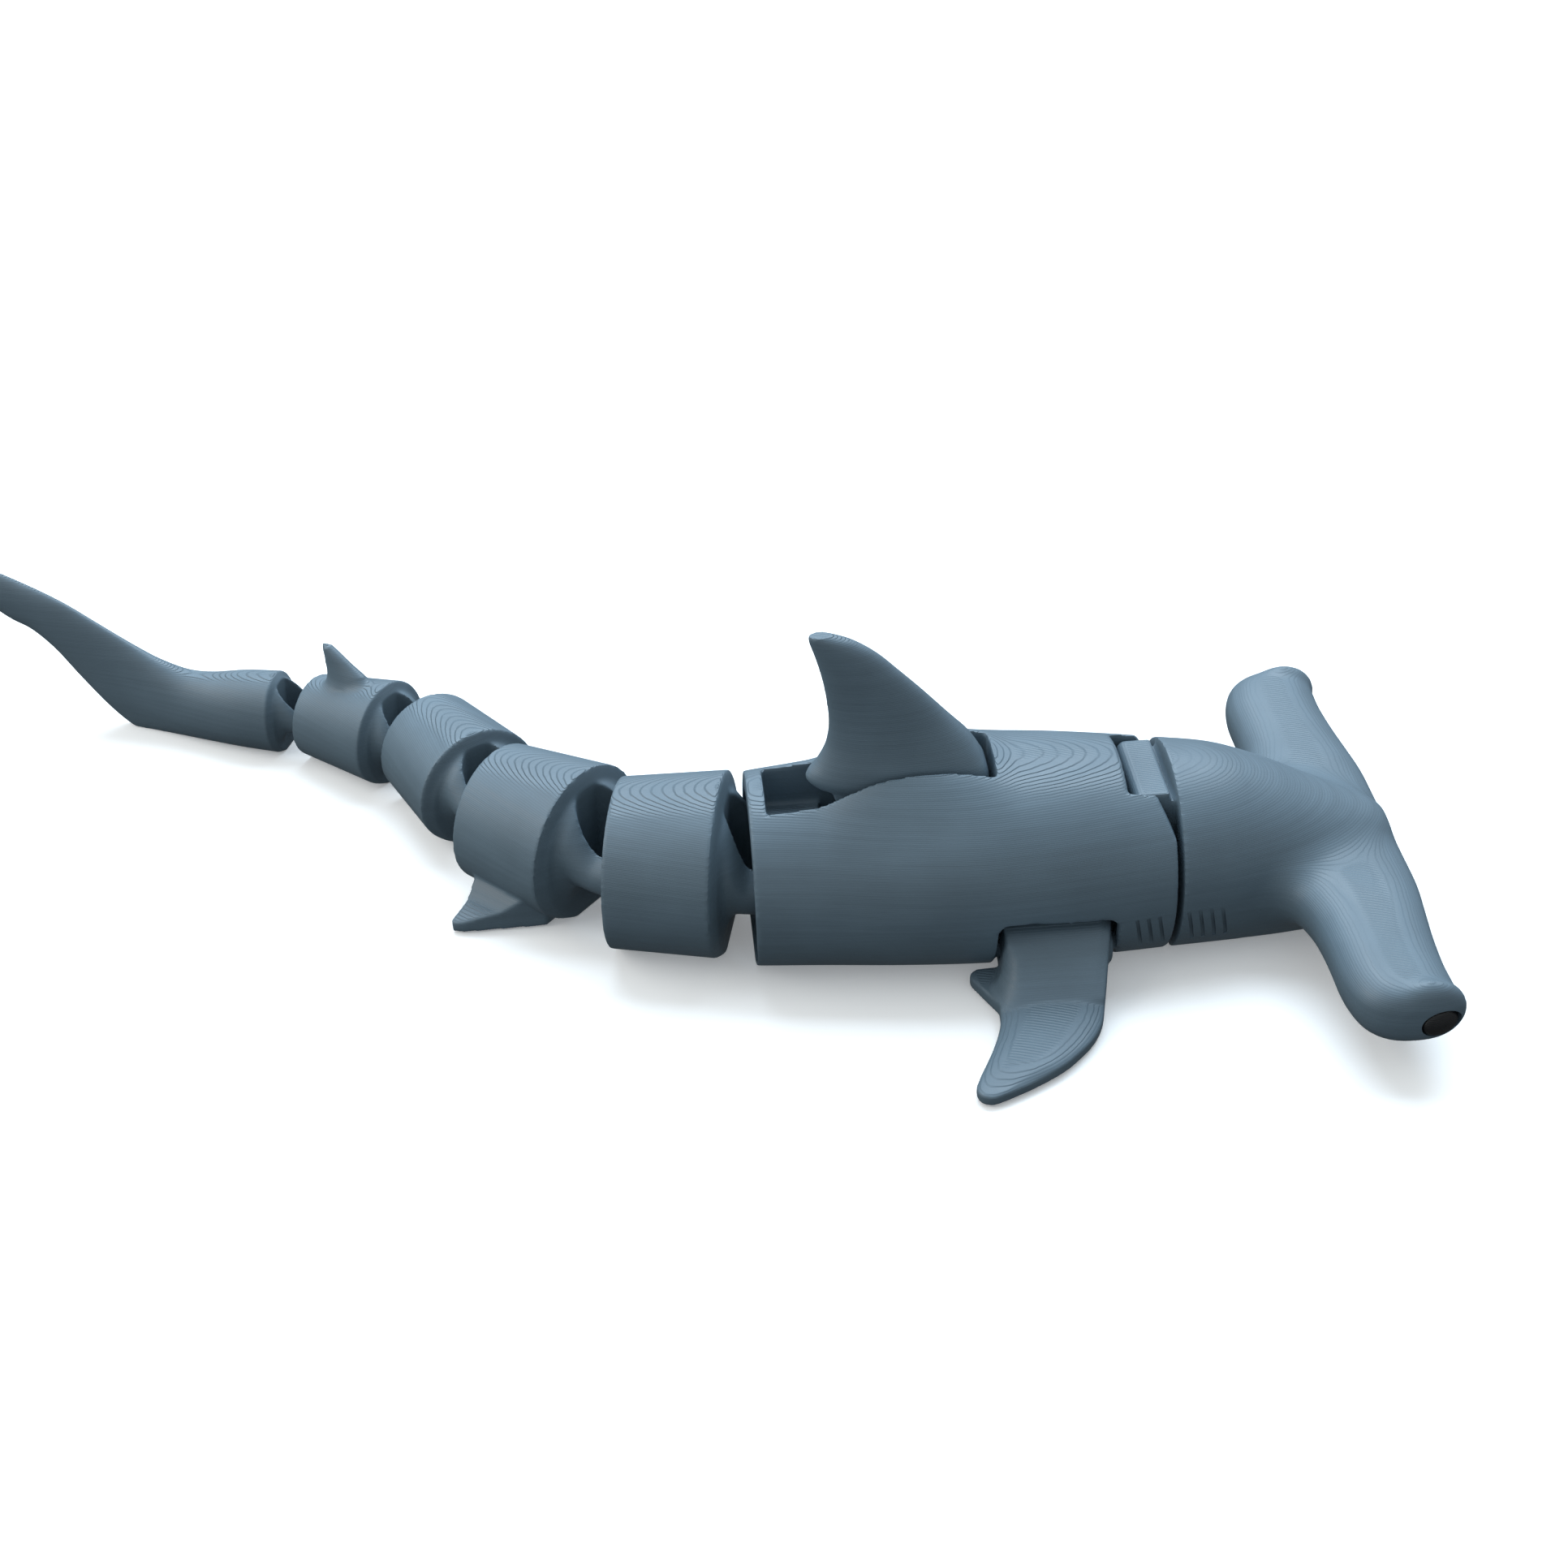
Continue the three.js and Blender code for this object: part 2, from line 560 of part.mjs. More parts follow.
// Left pectoral fin: flat underneath, thick at the root, thin outwards and thin in the lobe behind the root
function pectoralFin() {
  const outline = new THREE.ExtrudeGeometry(pectoralOutline(), {
    depth: 12,
    bevelEnabled: false,
    curveSegments: 8,
  }).translate(0, 0, PECTORAL_LIFT);
  const blade = solidOf(outline);
  const root = alongBody(PECTORAL_ROOT, 3.4, 30);
  const thin = alongBody(PECTORAL_BLADE, -10, 30);
  const middle = (SOCKET.rear + SOCKET.front) / 2;
  const length = SOCKET.front - SOCKET.rear - 2 * PECTORAL_END_GAP;
  const place = [middle, PECTORAL_PIVOT.y, PECTORAL_PIVOT.z];
  const barrel = rod(PECTORAL_BARREL_RADIUS, length, "x", place, 24);
  const bore = rod(PECTORAL_PIN_RADIUS + RUNNING_GAP, 60, "x", place, 20);
  return blade.intersect(root.add(thin)).add(barrel).subtract(bore);
}

// Opening for a pectoral fin on the left side, open to the side and below, with an arched mouth
function pectoralSocket() {
  const { rear, front, inner, ceiling, mouth, rounding } = SOCKET;
  const room = alongBody(
    [
      [inner, -2],
      [40, -2],
      [40, 24],
      [16, 12.6],
      [14, ceiling],
      [inner, ceiling],
    ],
    rear,
    front,
  );
  const arch = new THREE.Shape();
  arch.moveTo(rear, -3);
  arch.lineTo(rear, mouth - rounding);
  arch.quadraticCurveTo(rear, mouth, rear + rounding, mouth);
  arch.lineTo(front - 2 * rounding, mouth);
  arch.quadraticCurveTo(front, mouth - 0.6, front, mouth - 2 * rounding);
  arch.lineTo(front, -3);
  const geometry = new THREE.ExtrudeGeometry(arch, { depth: 80, bevelEnabled: false, curveSegments: 6 });
  const outside = solidOf(geometry.rotateX(Math.PI / 2).translate(0, 40, 0));
  return room.intersect(outside.add(box(rear, front, inner, 13.6, -2, ceiling)));
}

const mirrorY = (solid) => solid.mirror([0, 1, 0]);

// Grooves of the gill slits that lie on one piece, both sides
function gillGrooves(places, stations) {
  const middle = (GILL.low + GILL.high) / 2;
  return places.flatMap((x) => {
    const half = along(stations, "x", x, "halfWidth");
    const belly = along(stations, "x", x, "belly");
    const widest = along(stations, "x", x, "height") * WIDEST_SHARE;
    const below = (widest - middle) / widest;
    const flank = half * Math.sqrt(1 - below ** 2 * (1 - (belly / half) ** 2));
    const blade = new THREE.BoxGeometry(GILL.width, 2 * GILL.depth, GILL.high - GILL.low);
    blade.rotateX(rad(-GILL.lean)).rotateY(rad(-GILL.slant)).translate(x, flank, middle);
    const left = solidOf(blade);
    return [left, mirrorY(left)];
  });
}

function torso() {
  const first = tailPlan()[0];
  const ceiling = SLOT_SHELF - SHELF_WALL;
  const pocket = rearPocket(REAR_RIM, pocketDepth(first), ceiling).translate([TORSO_REAR, 0, 0]);
  const mouth = loft(
    [TORSO_REAR - 1, SLOT_REAR - 0.5].map((x) =>
      section(x, REAR_RIM.halfWidth - WALL, MOUTH_TOP - FLOOR_WALL, REAR_RIM.halfWidth * 0.5, FLOOR_WALL),
    ),
  );
  const pin = hingePin(REAR_RIM, TORSO_REAR + first.inset, ceiling);
  const slot = acrossBody(
    [
      [SLOT_REAR, SLOT_SHELF],
      ...SLOT_FLOOR,
      [SLOT_FRONT, SLOT_TOP],
      [SLOT_REAR, SLOT_TOP],
    ],
    2 * SLOT_HALF_WIDTH,
  );
  const finPin = rod(FIN_PIN_RADIUS, 2 * SLOT_HALF_WIDTH + 2, "y", [FIN_PIVOT.x, 0, FIN_PIVOT.z]);
  const lean = Math.tan(rad(FACE_CUT.slope));
  const faceCut = acrossBody(
    [
      [TORSO_FRONT, FACE_CUT.vertex],
      [TORSO_FRONT + 5, FACE_CUT.vertex],
      [TORSO_FRONT + 5, 60],
      [TORSO_FRONT - lean * (60 - FACE_CUT.vertex), 60],
    ],
    80,
  );
  const notch = box(NOTCH.rear, 40, -NOTCH.halfWidth, NOTCH.halfWidth, NOTCH.low, 60);
  const neckPin = rod(NECK_PIN_RADIUS, 2 * NOTCH.halfWidth + 2, "y", [NECK_PIVOT.x, 0, NECK_PIVOT.z]);
  const barPlace = [(SOCKET.rear + SOCKET.front) / 2, PECTORAL_PIVOT.y, PECTORAL_PIVOT.z];
  const finBar = rod(PECTORAL_PIN_RADIUS, SOCKET.front - SOCKET.rear + 2, "x", barPlace, 20);
  const socket = pectoralSocket();
  let made = bodyLoft(BODY_STATIONS, TORSO_REAR, TORSO_FRONT).add(fairing());
  made = made.subtract(pocket).subtract(mouth).add(pin).subtract(slot).add(finPin);
  made = made.subtract(faceCut).subtract(notch).add(neckPin);
  made = made.subtract(socket).subtract(mirrorY(socket)).add(finBar).add(mirrorY(finBar));
  for (const groove of gillGrooves(GILLS.slice(0, 3), BODY_STATIONS)) made = made.subtract(groove);
  return made;
}

// The two lobes of the hammer in one slab, rounded at its edges and ends
function hammer() {
  const sides = 22;
  const places = HAMMER_STATIONS.map((s) => s.y);
  const all = [...places.slice(1).map((y) => -y).reverse(), ...places];
  const rings = all.map((y) => {
    const station = HAMMER_STATIONS[places.indexOf(Math.abs(y))];
    const ring = [];
    for (let s = 0; s < sides; s++) {
      const a = (2 * Math.PI * s) / sides;
      const c = Math.cos(a);
      const w = Math.sin(a);
      ring.push(
        new THREE.Vector3(
          (station.rear + station.front) / 2 +
            ((station.front - station.rear) / 2) * Math.sign(c) * Math.abs(c) ** HAMMER_ROUNDING.edge,
          y,
          HAMMER_MIDDLE_HEIGHT + station.half * Math.sign(w) * Math.abs(w) ** HAMMER_ROUNDING.top,
        ),
      );
    }
    return ring;
  });
  return loft(rings);
}

function eyeBoss() {
  const ball = new THREE.SphereGeometry(1, 18, 10);
  ball.scale(...EYE_BOSS.radii).translate(EYE_BOSS.x, EYE_BOSS.y, EYE_BOSS.z);
  return solidOf(ball);
}

function eyeDisc(grow) {
  const disc = new THREE.CylinderGeometry(0.5, 0.5, EYE.depth + grow, 28);
  disc.scale(EYE.length + 2 * grow, 1, EYE.height + 2 * grow).translate(0, -(EYE.depth + grow) / 2, 0);
  return solidOf(disc.rotateZ(-rad(EYE.turn)).translate(EYE.x, EYE.y, EYE.z));
}

function head() {
  const tab = acrossBody(
    [
      [HEAD_REAR + 3, TAB.low],
      [HEAD_REAR + 3, TAB.high],
      [TAB.rear + TAB.rounding, TAB.high],
      ...[75, 60, 45, 30, 15].map((a) => [
        TAB.rear + TAB.rounding - TAB.rounding * Math.cos(rad(a)),
        TAB.high - TAB.rounding + TAB.rounding * Math.sin(rad(a)),
      ]),
      [TAB.rear, TAB.high - TAB.rounding],
      [TAB.rear, TAB.low + TAB.rounding],
      [TAB.rear + TAB.rounding, TAB.low],
    ],
    2 * TAB.halfWidth,
  );
  const bore = rod(NECK_PIN_RADIUS + RUNNING_GAP, 60, "y", [NECK_PIVOT.x, 0, NECK_PIVOT.z]);
  const boss = eyeBoss();
  const seat = eyeDisc(EYE.gap);
  let made = bodyLoft(HEAD_STATIONS, HEAD_REAR, 61).add(hammer());
  made = made.add(boss).add(mirrorY(boss)).add(tab).subtract(bore);
  for (const groove of gillGrooves(GILLS.slice(3), HEAD_STATIONS)) made = made.subtract(groove);
  return made.subtract(seat).subtract(mirrorY(seat));
}

// Pelvic fin on the left side of the second segment, in that segment's own frame
function pelvicFin(step) {
  const rim = -step.reach;
  const shape = new THREE.Shape();
  shape.moveTo(rim - 2.2, 5);
  shape.lineTo(rim - 2.2, 8.4);
  shape.lineTo(rim - 10.8, 16.0);
  shape.quadraticCurveTo(rim - 13.0, 17.6, rim - 13.2, 16.2);
  shape.quadraticCurveTo(rim - 12.9, 12.4, rim - 14.6, 8.8);
  shape.lineTo(rim - 14.6, 5);
  const blade = new THREE.ExtrudeGeometry(shape, { depth: 8, bevelEnabled: false, curveSegments: 6 });
  const cover = alongBody(PELVIC_SECTION, -60, 0);
  return solidOf(blade).intersect(cover);
}

// Small second dorsal fin on the fourth segment
function secondDorsal(step) {
  const top = step.headRim.height;
  const levels = SECOND_DORSAL.map(({ rise, rear, front, thick }) => ({
    z: top + rise,
    rear: rear - step.reach,
    front: front - step.reach,
    thick,
    square: 2,
  }));
  return finLoft(levels, 18);
}

// Tail piece: rings from the head rim to the tip of the upper lobe of the caudal fin
function tailPiece(step) {
  const { reach, headRim } = step;
  const chamfer = chamferOf(headRim);
  const startHalf = headRim.halfWidth - chamfer;
  const rings = [section(-reach, startHalf, headRim.height - chamfer, bellyOf(headRim) - 0.4)];
  for (const { x, half, low, high } of CAUDAL_STATIONS) {
    rings.push(section(-reach - RIM_CHAMFER.length - x, half, high - low, half * 0.45, low));
  }
  return loft(rings);
}

// Materials
const bodyPlastic = () =>
  new THREE.MeshStandardMaterial({ color: BODY_COLOUR, roughness: BODY_ROUGHNESS, metalness: 0 });
const eyePlastic = () =>
  new THREE.MeshStandardMaterial({ color: EYE_COLOUR, roughness: EYE_ROUGHNESS, metalness: 0 });

// Scene graph
const shark = new THREE.Group();
shark.add(meshOf("torso", torso(), bodyPlastic()));
shark.add(meshOf("head", head(), bodyPlastic()));
shark.add(meshOf("eye_left", eyeDisc(0), eyePlastic()));
shark.add(meshOf("eye_right", mirrorY(eyeDisc(0)), eyePlastic()));
shark.add(meshOf("dorsal_fin", dorsalFin(), bodyPlastic()));
shark.add(meshOf("pectoral_fin_left", pectoralFin(), bodyPlastic()));
shark.add(meshOf("pectoral_fin_right", mirrorY(pectoralFin()), bodyPlastic()));

let ahead = shark;
let pinX = TORSO_REAR;
tailPlan().forEach((step, i, plan) => {
  const joint = new THREE.Group();
  joint.position.set(pinX + step.inset, 0, 0);
  joint.rotation.z = rad(step.turn);
  ahead.add(joint);
  let made = neck(step);
  if (i < 4) {
    const fins = [];
    if (i === 1) fins.push(pelvicFin(step), mirrorY(pelvicFin(step)));
    if (i === 3) fins.push(secondDorsal(step));
    made = made.add(segmentShell(step, plan[i + 1], fins));
    joint.add(meshOf("segment_" + (i + 1), made, bodyPlastic()));
  } else {
    made = made.add(tailPiece(step));
    joint.add(meshOf("tail", made, bodyPlastic()));
  }
  pinX = -step.reach - step.length;
  ahead = joint;
});

export default shark;
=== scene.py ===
"""A hammerhead shark toy, printed in place in matte blue-grey plastic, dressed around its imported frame."""

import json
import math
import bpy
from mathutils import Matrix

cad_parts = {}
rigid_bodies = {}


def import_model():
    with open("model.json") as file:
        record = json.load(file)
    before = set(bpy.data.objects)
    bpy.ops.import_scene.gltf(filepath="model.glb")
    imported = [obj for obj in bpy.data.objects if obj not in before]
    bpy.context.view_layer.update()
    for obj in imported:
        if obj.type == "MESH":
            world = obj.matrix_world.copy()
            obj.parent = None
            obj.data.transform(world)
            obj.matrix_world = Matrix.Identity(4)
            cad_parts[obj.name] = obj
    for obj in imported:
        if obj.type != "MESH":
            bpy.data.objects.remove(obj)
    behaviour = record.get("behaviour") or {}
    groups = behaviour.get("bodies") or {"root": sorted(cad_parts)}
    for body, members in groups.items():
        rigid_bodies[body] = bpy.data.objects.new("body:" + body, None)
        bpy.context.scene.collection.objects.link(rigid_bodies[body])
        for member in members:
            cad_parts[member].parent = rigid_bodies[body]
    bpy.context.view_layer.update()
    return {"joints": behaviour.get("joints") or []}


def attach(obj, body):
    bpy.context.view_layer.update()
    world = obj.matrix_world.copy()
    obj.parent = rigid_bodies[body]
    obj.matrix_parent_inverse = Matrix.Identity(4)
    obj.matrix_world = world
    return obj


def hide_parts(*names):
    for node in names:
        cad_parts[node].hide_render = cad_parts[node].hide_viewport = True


bl_info = {
    "name": "Printed Hammerhead Shark",
    "version": (1, 0, 0),
    "blender": (4, 5, 0),
    "location": "3D View > Sidebar > Printed Shark",
    "description": "Makes the pieces, finishes, stage and camera of a printed-in-place hammerhead shark toy",
    "category": "Object",
}

import bmesh
import bpy
from bpy.props import FloatProperty, FloatVectorProperty, PointerProperty
from mathutils import Euler, Matrix, Vector
from mathutils.geometry import interpolate_bezier

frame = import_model()

MM = 0.001
ROUND = 120  # points round a body section
TORSO_CELLS, BACK_FIN_CELLS, SIDE_FIN_CELLS, TAIL_CELL_STEP = 1.06, 0.9, 0.8, 0.1  # mesh cells by piece
SHARP_ANGLE = math.radians(38)
CREASE_ANGLE = math.radians(14)

# Torso and head: place along X, half width, height of the crest, half width of the flat belly
BODY_ROWS = (
    (-30, 13.6, 26.2, 5.8),
    (-20, 14.9, 27.0, 6.9),
    (-10, 16.3, 28.2, 8.2),
    (0, 17.0, 29.3, 9.3),
    (10, 16.8, 28.8, 9.7),
    (20, 15.9, 27.8, 9.5),
    (28, 14.9, 26.8, 9.1),
)
HEAD_ROWS = (
    (28, 14.9, 26.8, 9.1),
    (36, 13.8, 25.6, 8.8),
    (43, 12.6, 23.0, 8.4),
    (49, 11.6, 20.0, 7.6),
    (55, 10.2, 17.2, 6.4),
    (59, 8.4, 15.4, 4.6),
    (61, 6.2, 13.8, 3.0),
)
TORSO_REAR, TORSO_FRONT, HEAD_REAR, HEAD_FRONT = -30.0, 27.6, 28.4, 61.0
WIDEST_SHARE = 0.43
LOWER_SHARE, UPPER_SHARE = 0.15, 0.60  # shares of a section's points below and above its widest line

# Swelling of the back round the foot of the back fin: where, how far behind and ahead, flat and full half width
SWELL_MIDDLE, SWELL_BEHIND, SWELL_AHEAD = -10.0, 11.0, 17.0
SWELL_FLAT, SWELL_WIDE, SWELL_RISE = 4.0, 12.5, 2.7
SWELL_DEPTH = 4.0  # how far below the shelf of the slot the swelling starts

# Slot for the back fin, and the fin's hinge and foot
SLOT_HALF_WIDTH, SLOT_REAR, SLOT_FRONT, SLOT_SHELF, MOUTH_TOP = 5.25, -27.6, 3.8, 19.2, 23.0
SHELF_WALL = 1.6
SLOT_OUTLINE = (
    (SLOT_REAR, SLOT_SHELF),
    (-19.6, SLOT_SHELF),
    (-19.6, 17.2),
    (-16.6, 14.8),
    (-13.6, 11.6),
    (-1, 16.4),
    (SLOT_FRONT, 17.2),
    (SLOT_FRONT, 60),
    (SLOT_REAR, 60),
)
FIN_PIVOT = (-1.5, 0, 22.0)
FIN_PIN, FIN_HUB, FIN_SIDE_GAP, RUNNING_GAP = 1.5, 4.6, 0.7, 0.4
FIN_FOOT = ((-17.2, 22.6), (-6, 19.0), (-1, 18.2), (3.2, 21), (3.4, 26.6), (-18.6, 26.6))

# Neck: pin, tab of the head, notch of the torso, and the leaning face above the notch
NECK_PIVOT, NECK_PIN = (25.4, 0, 20.3), 1.5
TAB_REAR, TAB_HALF_WIDTH, TAB_LOW, TAB_HIGH, TAB_ROUNDING = 22.6, 6.7, 15.5, 25.0, 1.3
TAB_GROOVE = (0.9, 1.4)  # width and depth of the groove between the tab and the head
NOTCH_REAR, NOTCH_HALF_WIDTH, NOTCH_LOW = 21.6, 7.1, 14.4
FACE_VERTEX, FACE_SLOPE = 20.6, 25.0

# Side fins and their sockets
SOCKET_REAR, SOCKET_FRONT, SOCKET_INNER, SOCKET_CEILING = 2.7, 20.1, 7.2, 11.0
SOCKET_MOUTH, SOCKET_FALL, SOCKET_LIP, SOCKET_ROUNDING = 12.2, 1.1, 0.6, 1.8
SIDE_PIVOT = ((SOCKET_REAR + SOCKET_FRONT) / 2, 11.6, 4.1)
SIDE_PIN, SIDE_BARREL, SIDE_LIFT = 1.2, 3.1, 0.3
SIDE_FIN_CURVES = (
    ((19.2, 11.4), (18.6, 15), (17.2, 20), (16.2, 24.0)),
    ((16.2, 24.0), (15.2, 28), (13.0, 30.4), (9.7, 33.3)),
    ((9.7, 33.3), (7.0, 35.4), (3.0, 37.4), (-0.5, 38.8)),
    ((-0.5, 38.8), (-2.2, 39.4), (-3.7, 38.2), (-3.1, 36.2)),
    ((-3.1, 36.2), (-1.8, 33.4), (0.6, 29.6), (1.8, 25.0)),
    ((1.8, 25.0), (2.6, 21.6), (2.2, 18.8), (0.2, 16.6)),
    ((0.2, 16.6), (-1.4, 15.2), (-1.0, 13.6), (0.6, 13.4)),
)
SIDE_FIN_ROOT = ((9.2, 0), (9.2, 7.0), (11.4, 8.9), (13.6, 9.8), (15, 9.2), (22.8, 2.9), (23, 0))

# Blade of the side fin by distance from the middle: crown and height, then rear and front edge
BLADE_ROWS = (
    (9.0, 0.4, 2.4),
    (15.0, 0.5, 2.4),
    (19.0, 0.6, 2.6),
    (23.0, 1.2, 3.0),
    (29.0, 1.3, 2.95),
    (34.0, 1.1, 2.7),
    (38.0, 0.7, 2.0),
    (42.0, 0.4, 1.4),
)
BLADE_EDGES = (
    (9.0, -2.0, 19.8),
    (16.0, -1.6, 18.6),
    (20.0, 1.4, 17.4),
    (25.0, 1.6, 16.0),
    (30.0, -0.6, 13.2),
    (34.0, -2.4, 9.0),
    (38.0, -4.0, 2.2),
    (42.0, -5.0, 0.0),
)

# Hammer: distance from the middle, rear edge, front edge, half thickness
HAMMER_ROWS = (
    (0, 42.0, 61.9, 5.0),
    (7, 42.0, 61.8, 5.0),
    (12, 42.4, 61.8, 5.0),
    (15, 43.8, 61.6, 5.0),
    (19, 45.2, 61.1, 4.9),
    (25, 45.7, 60.4, 4.8),
    (31, 45.7, 60.0, 4.8),
    (34.2, 46.1, 60.1, 4.8),
    (36.9, 47.0, 60.0, 4.6),
    (38.7, 48.9, 59.3, 3.9),
    (39.6, 51.6, 57.4, 2.2),
)
HAMMER_MIDDLE = 9.6
HAMMER_EDGE_ROUNDING, HAMMER_TOP_ROUNDING = 0.86, 0.8  # powers of the section, 1 for an ellipse
HAMMER_STEPS_TO, HAMMER_END_PLACES = 36.0, (36.6, 37.2, 37.8, 38.3, 38.7, 39.0, 39.3, 39.6)

# How the head flows into the hammer: cells, then start along X, half width, spread and passes of each fillet
HEAD_CELLS = 2.2
HEAD_FILLETS = ((38, 26, 6, 60), (34, 29, 11, 8))
FLOW_START, FLOW_PASSES = 38.5, 16
EYE_BOSS, EYE_BOSS_RADII = (55.5, 37.6, 10.1), (5.4, 2.2, 4.95)
EYE_PLACE, EYE_TURN = (57.2, 39.75, 9.1), 16.0
EYE_LENGTH, EYE_HEIGHT, EYE_DEPTH, EYE_GAP, EYE_INSET = 5.2, 4.2, 2.4, 0.2, -0.02
EYE_ROUNDING, EYE_RING, SEAT_OPENING = 0.5, 0.35, 1.5
GILLS = (22.6, 24.2, 25.8, 30.0, 31.6, 33.2, 34.8)
GILL_LOW, GILL_HIGH, GILL_WIDTH, GILL_DEPTH = 3.9, 10.6, 0.5, 0.42
GILL_LEAN, GILL_SLANT = 18.0, 12.0  # degrees, outwards and forwards

# Tail: turn at rest, gap, shell length, play of the loop, half width and height of head rim and tail rim
REAR_RIM = (13.6, 26.0)
TAIL_ROWS = (
    (-12.8, 2.9, 16.0, 2.6, (13.3, 25.6), (12.2, 23.6)),
    (-27.7, 6.0, 17.5, 0.0, (11.8, 22.7), (10.4, 20.2)),
    (-20.0, 7.2, 17.0, 0.0, (9.9, 18.4), (8.6, 16.4)),
    (24.0, 6.2, 15.8, 0.0, (8.1, 16.4), (6.3, 13.1)),
    (17.0, 5.4, 0.0, 0.0, (5.6, 13.2), (5.6, 13.2)),
)
BELLY_SHARE, PIN_INSET_SHARE, PIN_SHARE = 0.38, 0.27, 0.165
LOOP_HOLE_SHARE, LOOP_END_SHARE, LOOP_TOP_SHARE, LOOP_LOW_SHARE = 0.37, 0.56, 0.63, 0.31
CHAMFER_LENGTH, CHAMFER_SHARE = 0.8, 0.19
FILLET_LENGTH, FILLET_SHARE = 1.0, 0.83
NECK_ARCH_START, NECK_ARCH_RISE, NECK_FALL = 0.4, 2.2, 1.6
WALL, LIP, LIP_DEPTH, FLOOR_WALL = 1.8, 1.0, 1.4, 1.6

# Tail fin: distance behind the rim, half width, low edge, high edge
CAUDAL_ROWS = (
    (0, 5.6, 0, 13.2),
    (6, 5.3, 0, 12.6),
    (12, 4.4, 0, 11.6),
    (16, 3.7, 0, 11.7),
    (20.5, 2.9, 0, 13.3),
    (23.6, 2.4, 0, 15.0),
    (26.3, 2.1, 0, 16.6),
    (30, 1.9, 3.0, 18.8),
    (34.6, 1.7, 8.6, 21.5),
    (38, 1.6, 13.2, 23.1),
    (41.5, 1.5, 16.4, 24.5),
    (45, 1.4, 18.0, 25.8),
    (48.5, 1.2, 20.3, 27.0),
    (52, 1.0, 23.0, 27.8),
    (55, 0.7, 25.8, 28.3),
)

# Back fin: height, rear edge, front edge, thickness, squareness of the section
BACK_FIN_ROWS = (
    (26.0, -20.6, 3.2, 9.1, 6.0),
    (27.2, -21.8, 3.2, 9.1, 6.0),
    (28.3, -21.5, 3.0, 9.1, 5.0),
    (29.6, -20.5, 2.4, 8.9, 4.0),
    (31.2, -19.6, 1.6, 8.2, 3.2),
    (33.0, -18.9, 0.5, 7.4, 2.6),
    (36.0, -18.5, -2.1, 6.3, 2.2),
    (40.0, -18.8, -5.6, 5.2, 2.0),
    (43.5, -19.4, -8.9, 4.4, 2.0),
    (46.6, -20.2, -12.0, 3.6, 2.0),
    (48.8, -20.9, -15.2, 2.8, 2.0),
    (49.88, -21.1, -18.0, 2.0, 2.0),
)

# Small second back fin, in the same columns: heights above the rim's crest, and edges from the rim
SECOND_FIN_ROWS = (
    (-6.0, -13.2, -0.6, 6.4, 2.0),
    (-2.4, -12.6, -1.2, 4.8, 2.0),
    (-0.8, -12.2, -2.9, 3.4, 2.0),
    (1.4, -12.3, -6.4, 2.3, 2.0),
    (3.4, -12.5, -9.3, 1.7, 2.0),
    (4.7, -12.7, -11.3, 1.2, 2.0),
)

# Printed finish: depths in layers of the steps on each kind of piece, and of the finer marks
BODY_STEP, TORSO_STEP, HEAD_STEP, SIDE_FIN_STEP = 0.62, 0.45, 0.11, 0.3
RISER_SHARE, WAVER_REACH, BEAD_DEPTH, STREAK_DEPTH = 0.3, 0.09, 0.05, 0.07
RIB_DEPTH, RIB_SPACING, RIB_SLANT = 0.13, 2.8, 0.35
SHALLOW_FROM, SHALLOW_TO = 0.87, 0.97  # upward part of the normal where the steps fade in
LEVEL_FROM, LEVEL_TO = 0.990, 0.998  # and where the ribs do
EYE_BEAD, EYE_SPECKS = 0.15, 0.2
NOISE_LOW, NOISE_HIGH = 0.3, 0.7  # the part of a noise that is used

# Lights: place, target, size and colour
WINDOW_LIGHT = ((0.06, 0.42, 0.67), (-0.02, 0.0, 0.0), (0.9, 0.55), (0.74, 0.88, 1.0))
FILL_LIGHT = ((-0.50, 0.02, 0.34), (-0.06, 0.0, 0.0), (0.5, 0.4), (1.0, 0.98, 0.93))
ROOM_COLOUR, HORIZON_LOW, HORIZON_HIGH = (0.88, 0.96, 1.0, 1.0), -0.25, 0.2
FLOOR_GLOW_COLOUR, FLOOR_GLOW, FLOOR_DROP = (0.96, 0.98, 1.0, 1.0), 0.2, 0.00004

# Camera of the photograph, in the frame of the toy
CAMERA_PLACE = (-42.112, -261.105, 214.361)
CAMERA_ELEVATION, CAMERA_YAW, CAMERA_ROLL = 35.7, 3.8, 1.8
CAMERA_LENS, CAMERA_SENSOR = 54.04, 36.0


# Kinds of the numbers that the panel sets
LENGTH = {"subtype": "DISTANCE", "unit": "LENGTH"}
COLOUR = {"size": 3, "min": 0, "max": 1, "subtype": "COLOR"}
WATTS = {"min": 0, "subtype": "POWER", "unit": "POWER"}
BRIGHTNESS = {"min": 0, "subtype": "FACTOR"}


class PrintSizes(bpy.types.PropertyGroup):
    """Sizes of the print"""

    layer: FloatProperty(
        name="Layer height", description="Height of one printed layer", default=0.0002, **LENGTH
    )
    grain: FloatProperty(
        name="Edge softness",
        description="Size of the mesh cells that soften the edges of the printed pieces",
        default=0.00034,
        **LENGTH,
    )
    eye_dome: FloatProperty(
        name="Eye dome", description="How far an eye swells beyond its rim", default=0.0005, **LENGTH
    )


class PrintColours(bpy.types.PropertyGroup):
    """Colours of the two plastics and of the floor"""

    body: FloatVectorProperty(
        name="Body", description="Blue-grey plastic of the body", default=(0.100, 0.146, 0.185), **COLOUR
    )
    eye: FloatVectorProperty(
        name="Eye", description="Black plastic of the eyes", default=(0.004, 0.004, 0.005), **COLOUR
    )
    floor: FloatVectorProperty(name="Floor", description="Pale floor", default=(0.90, 0.90, 0.90), **COLOUR)


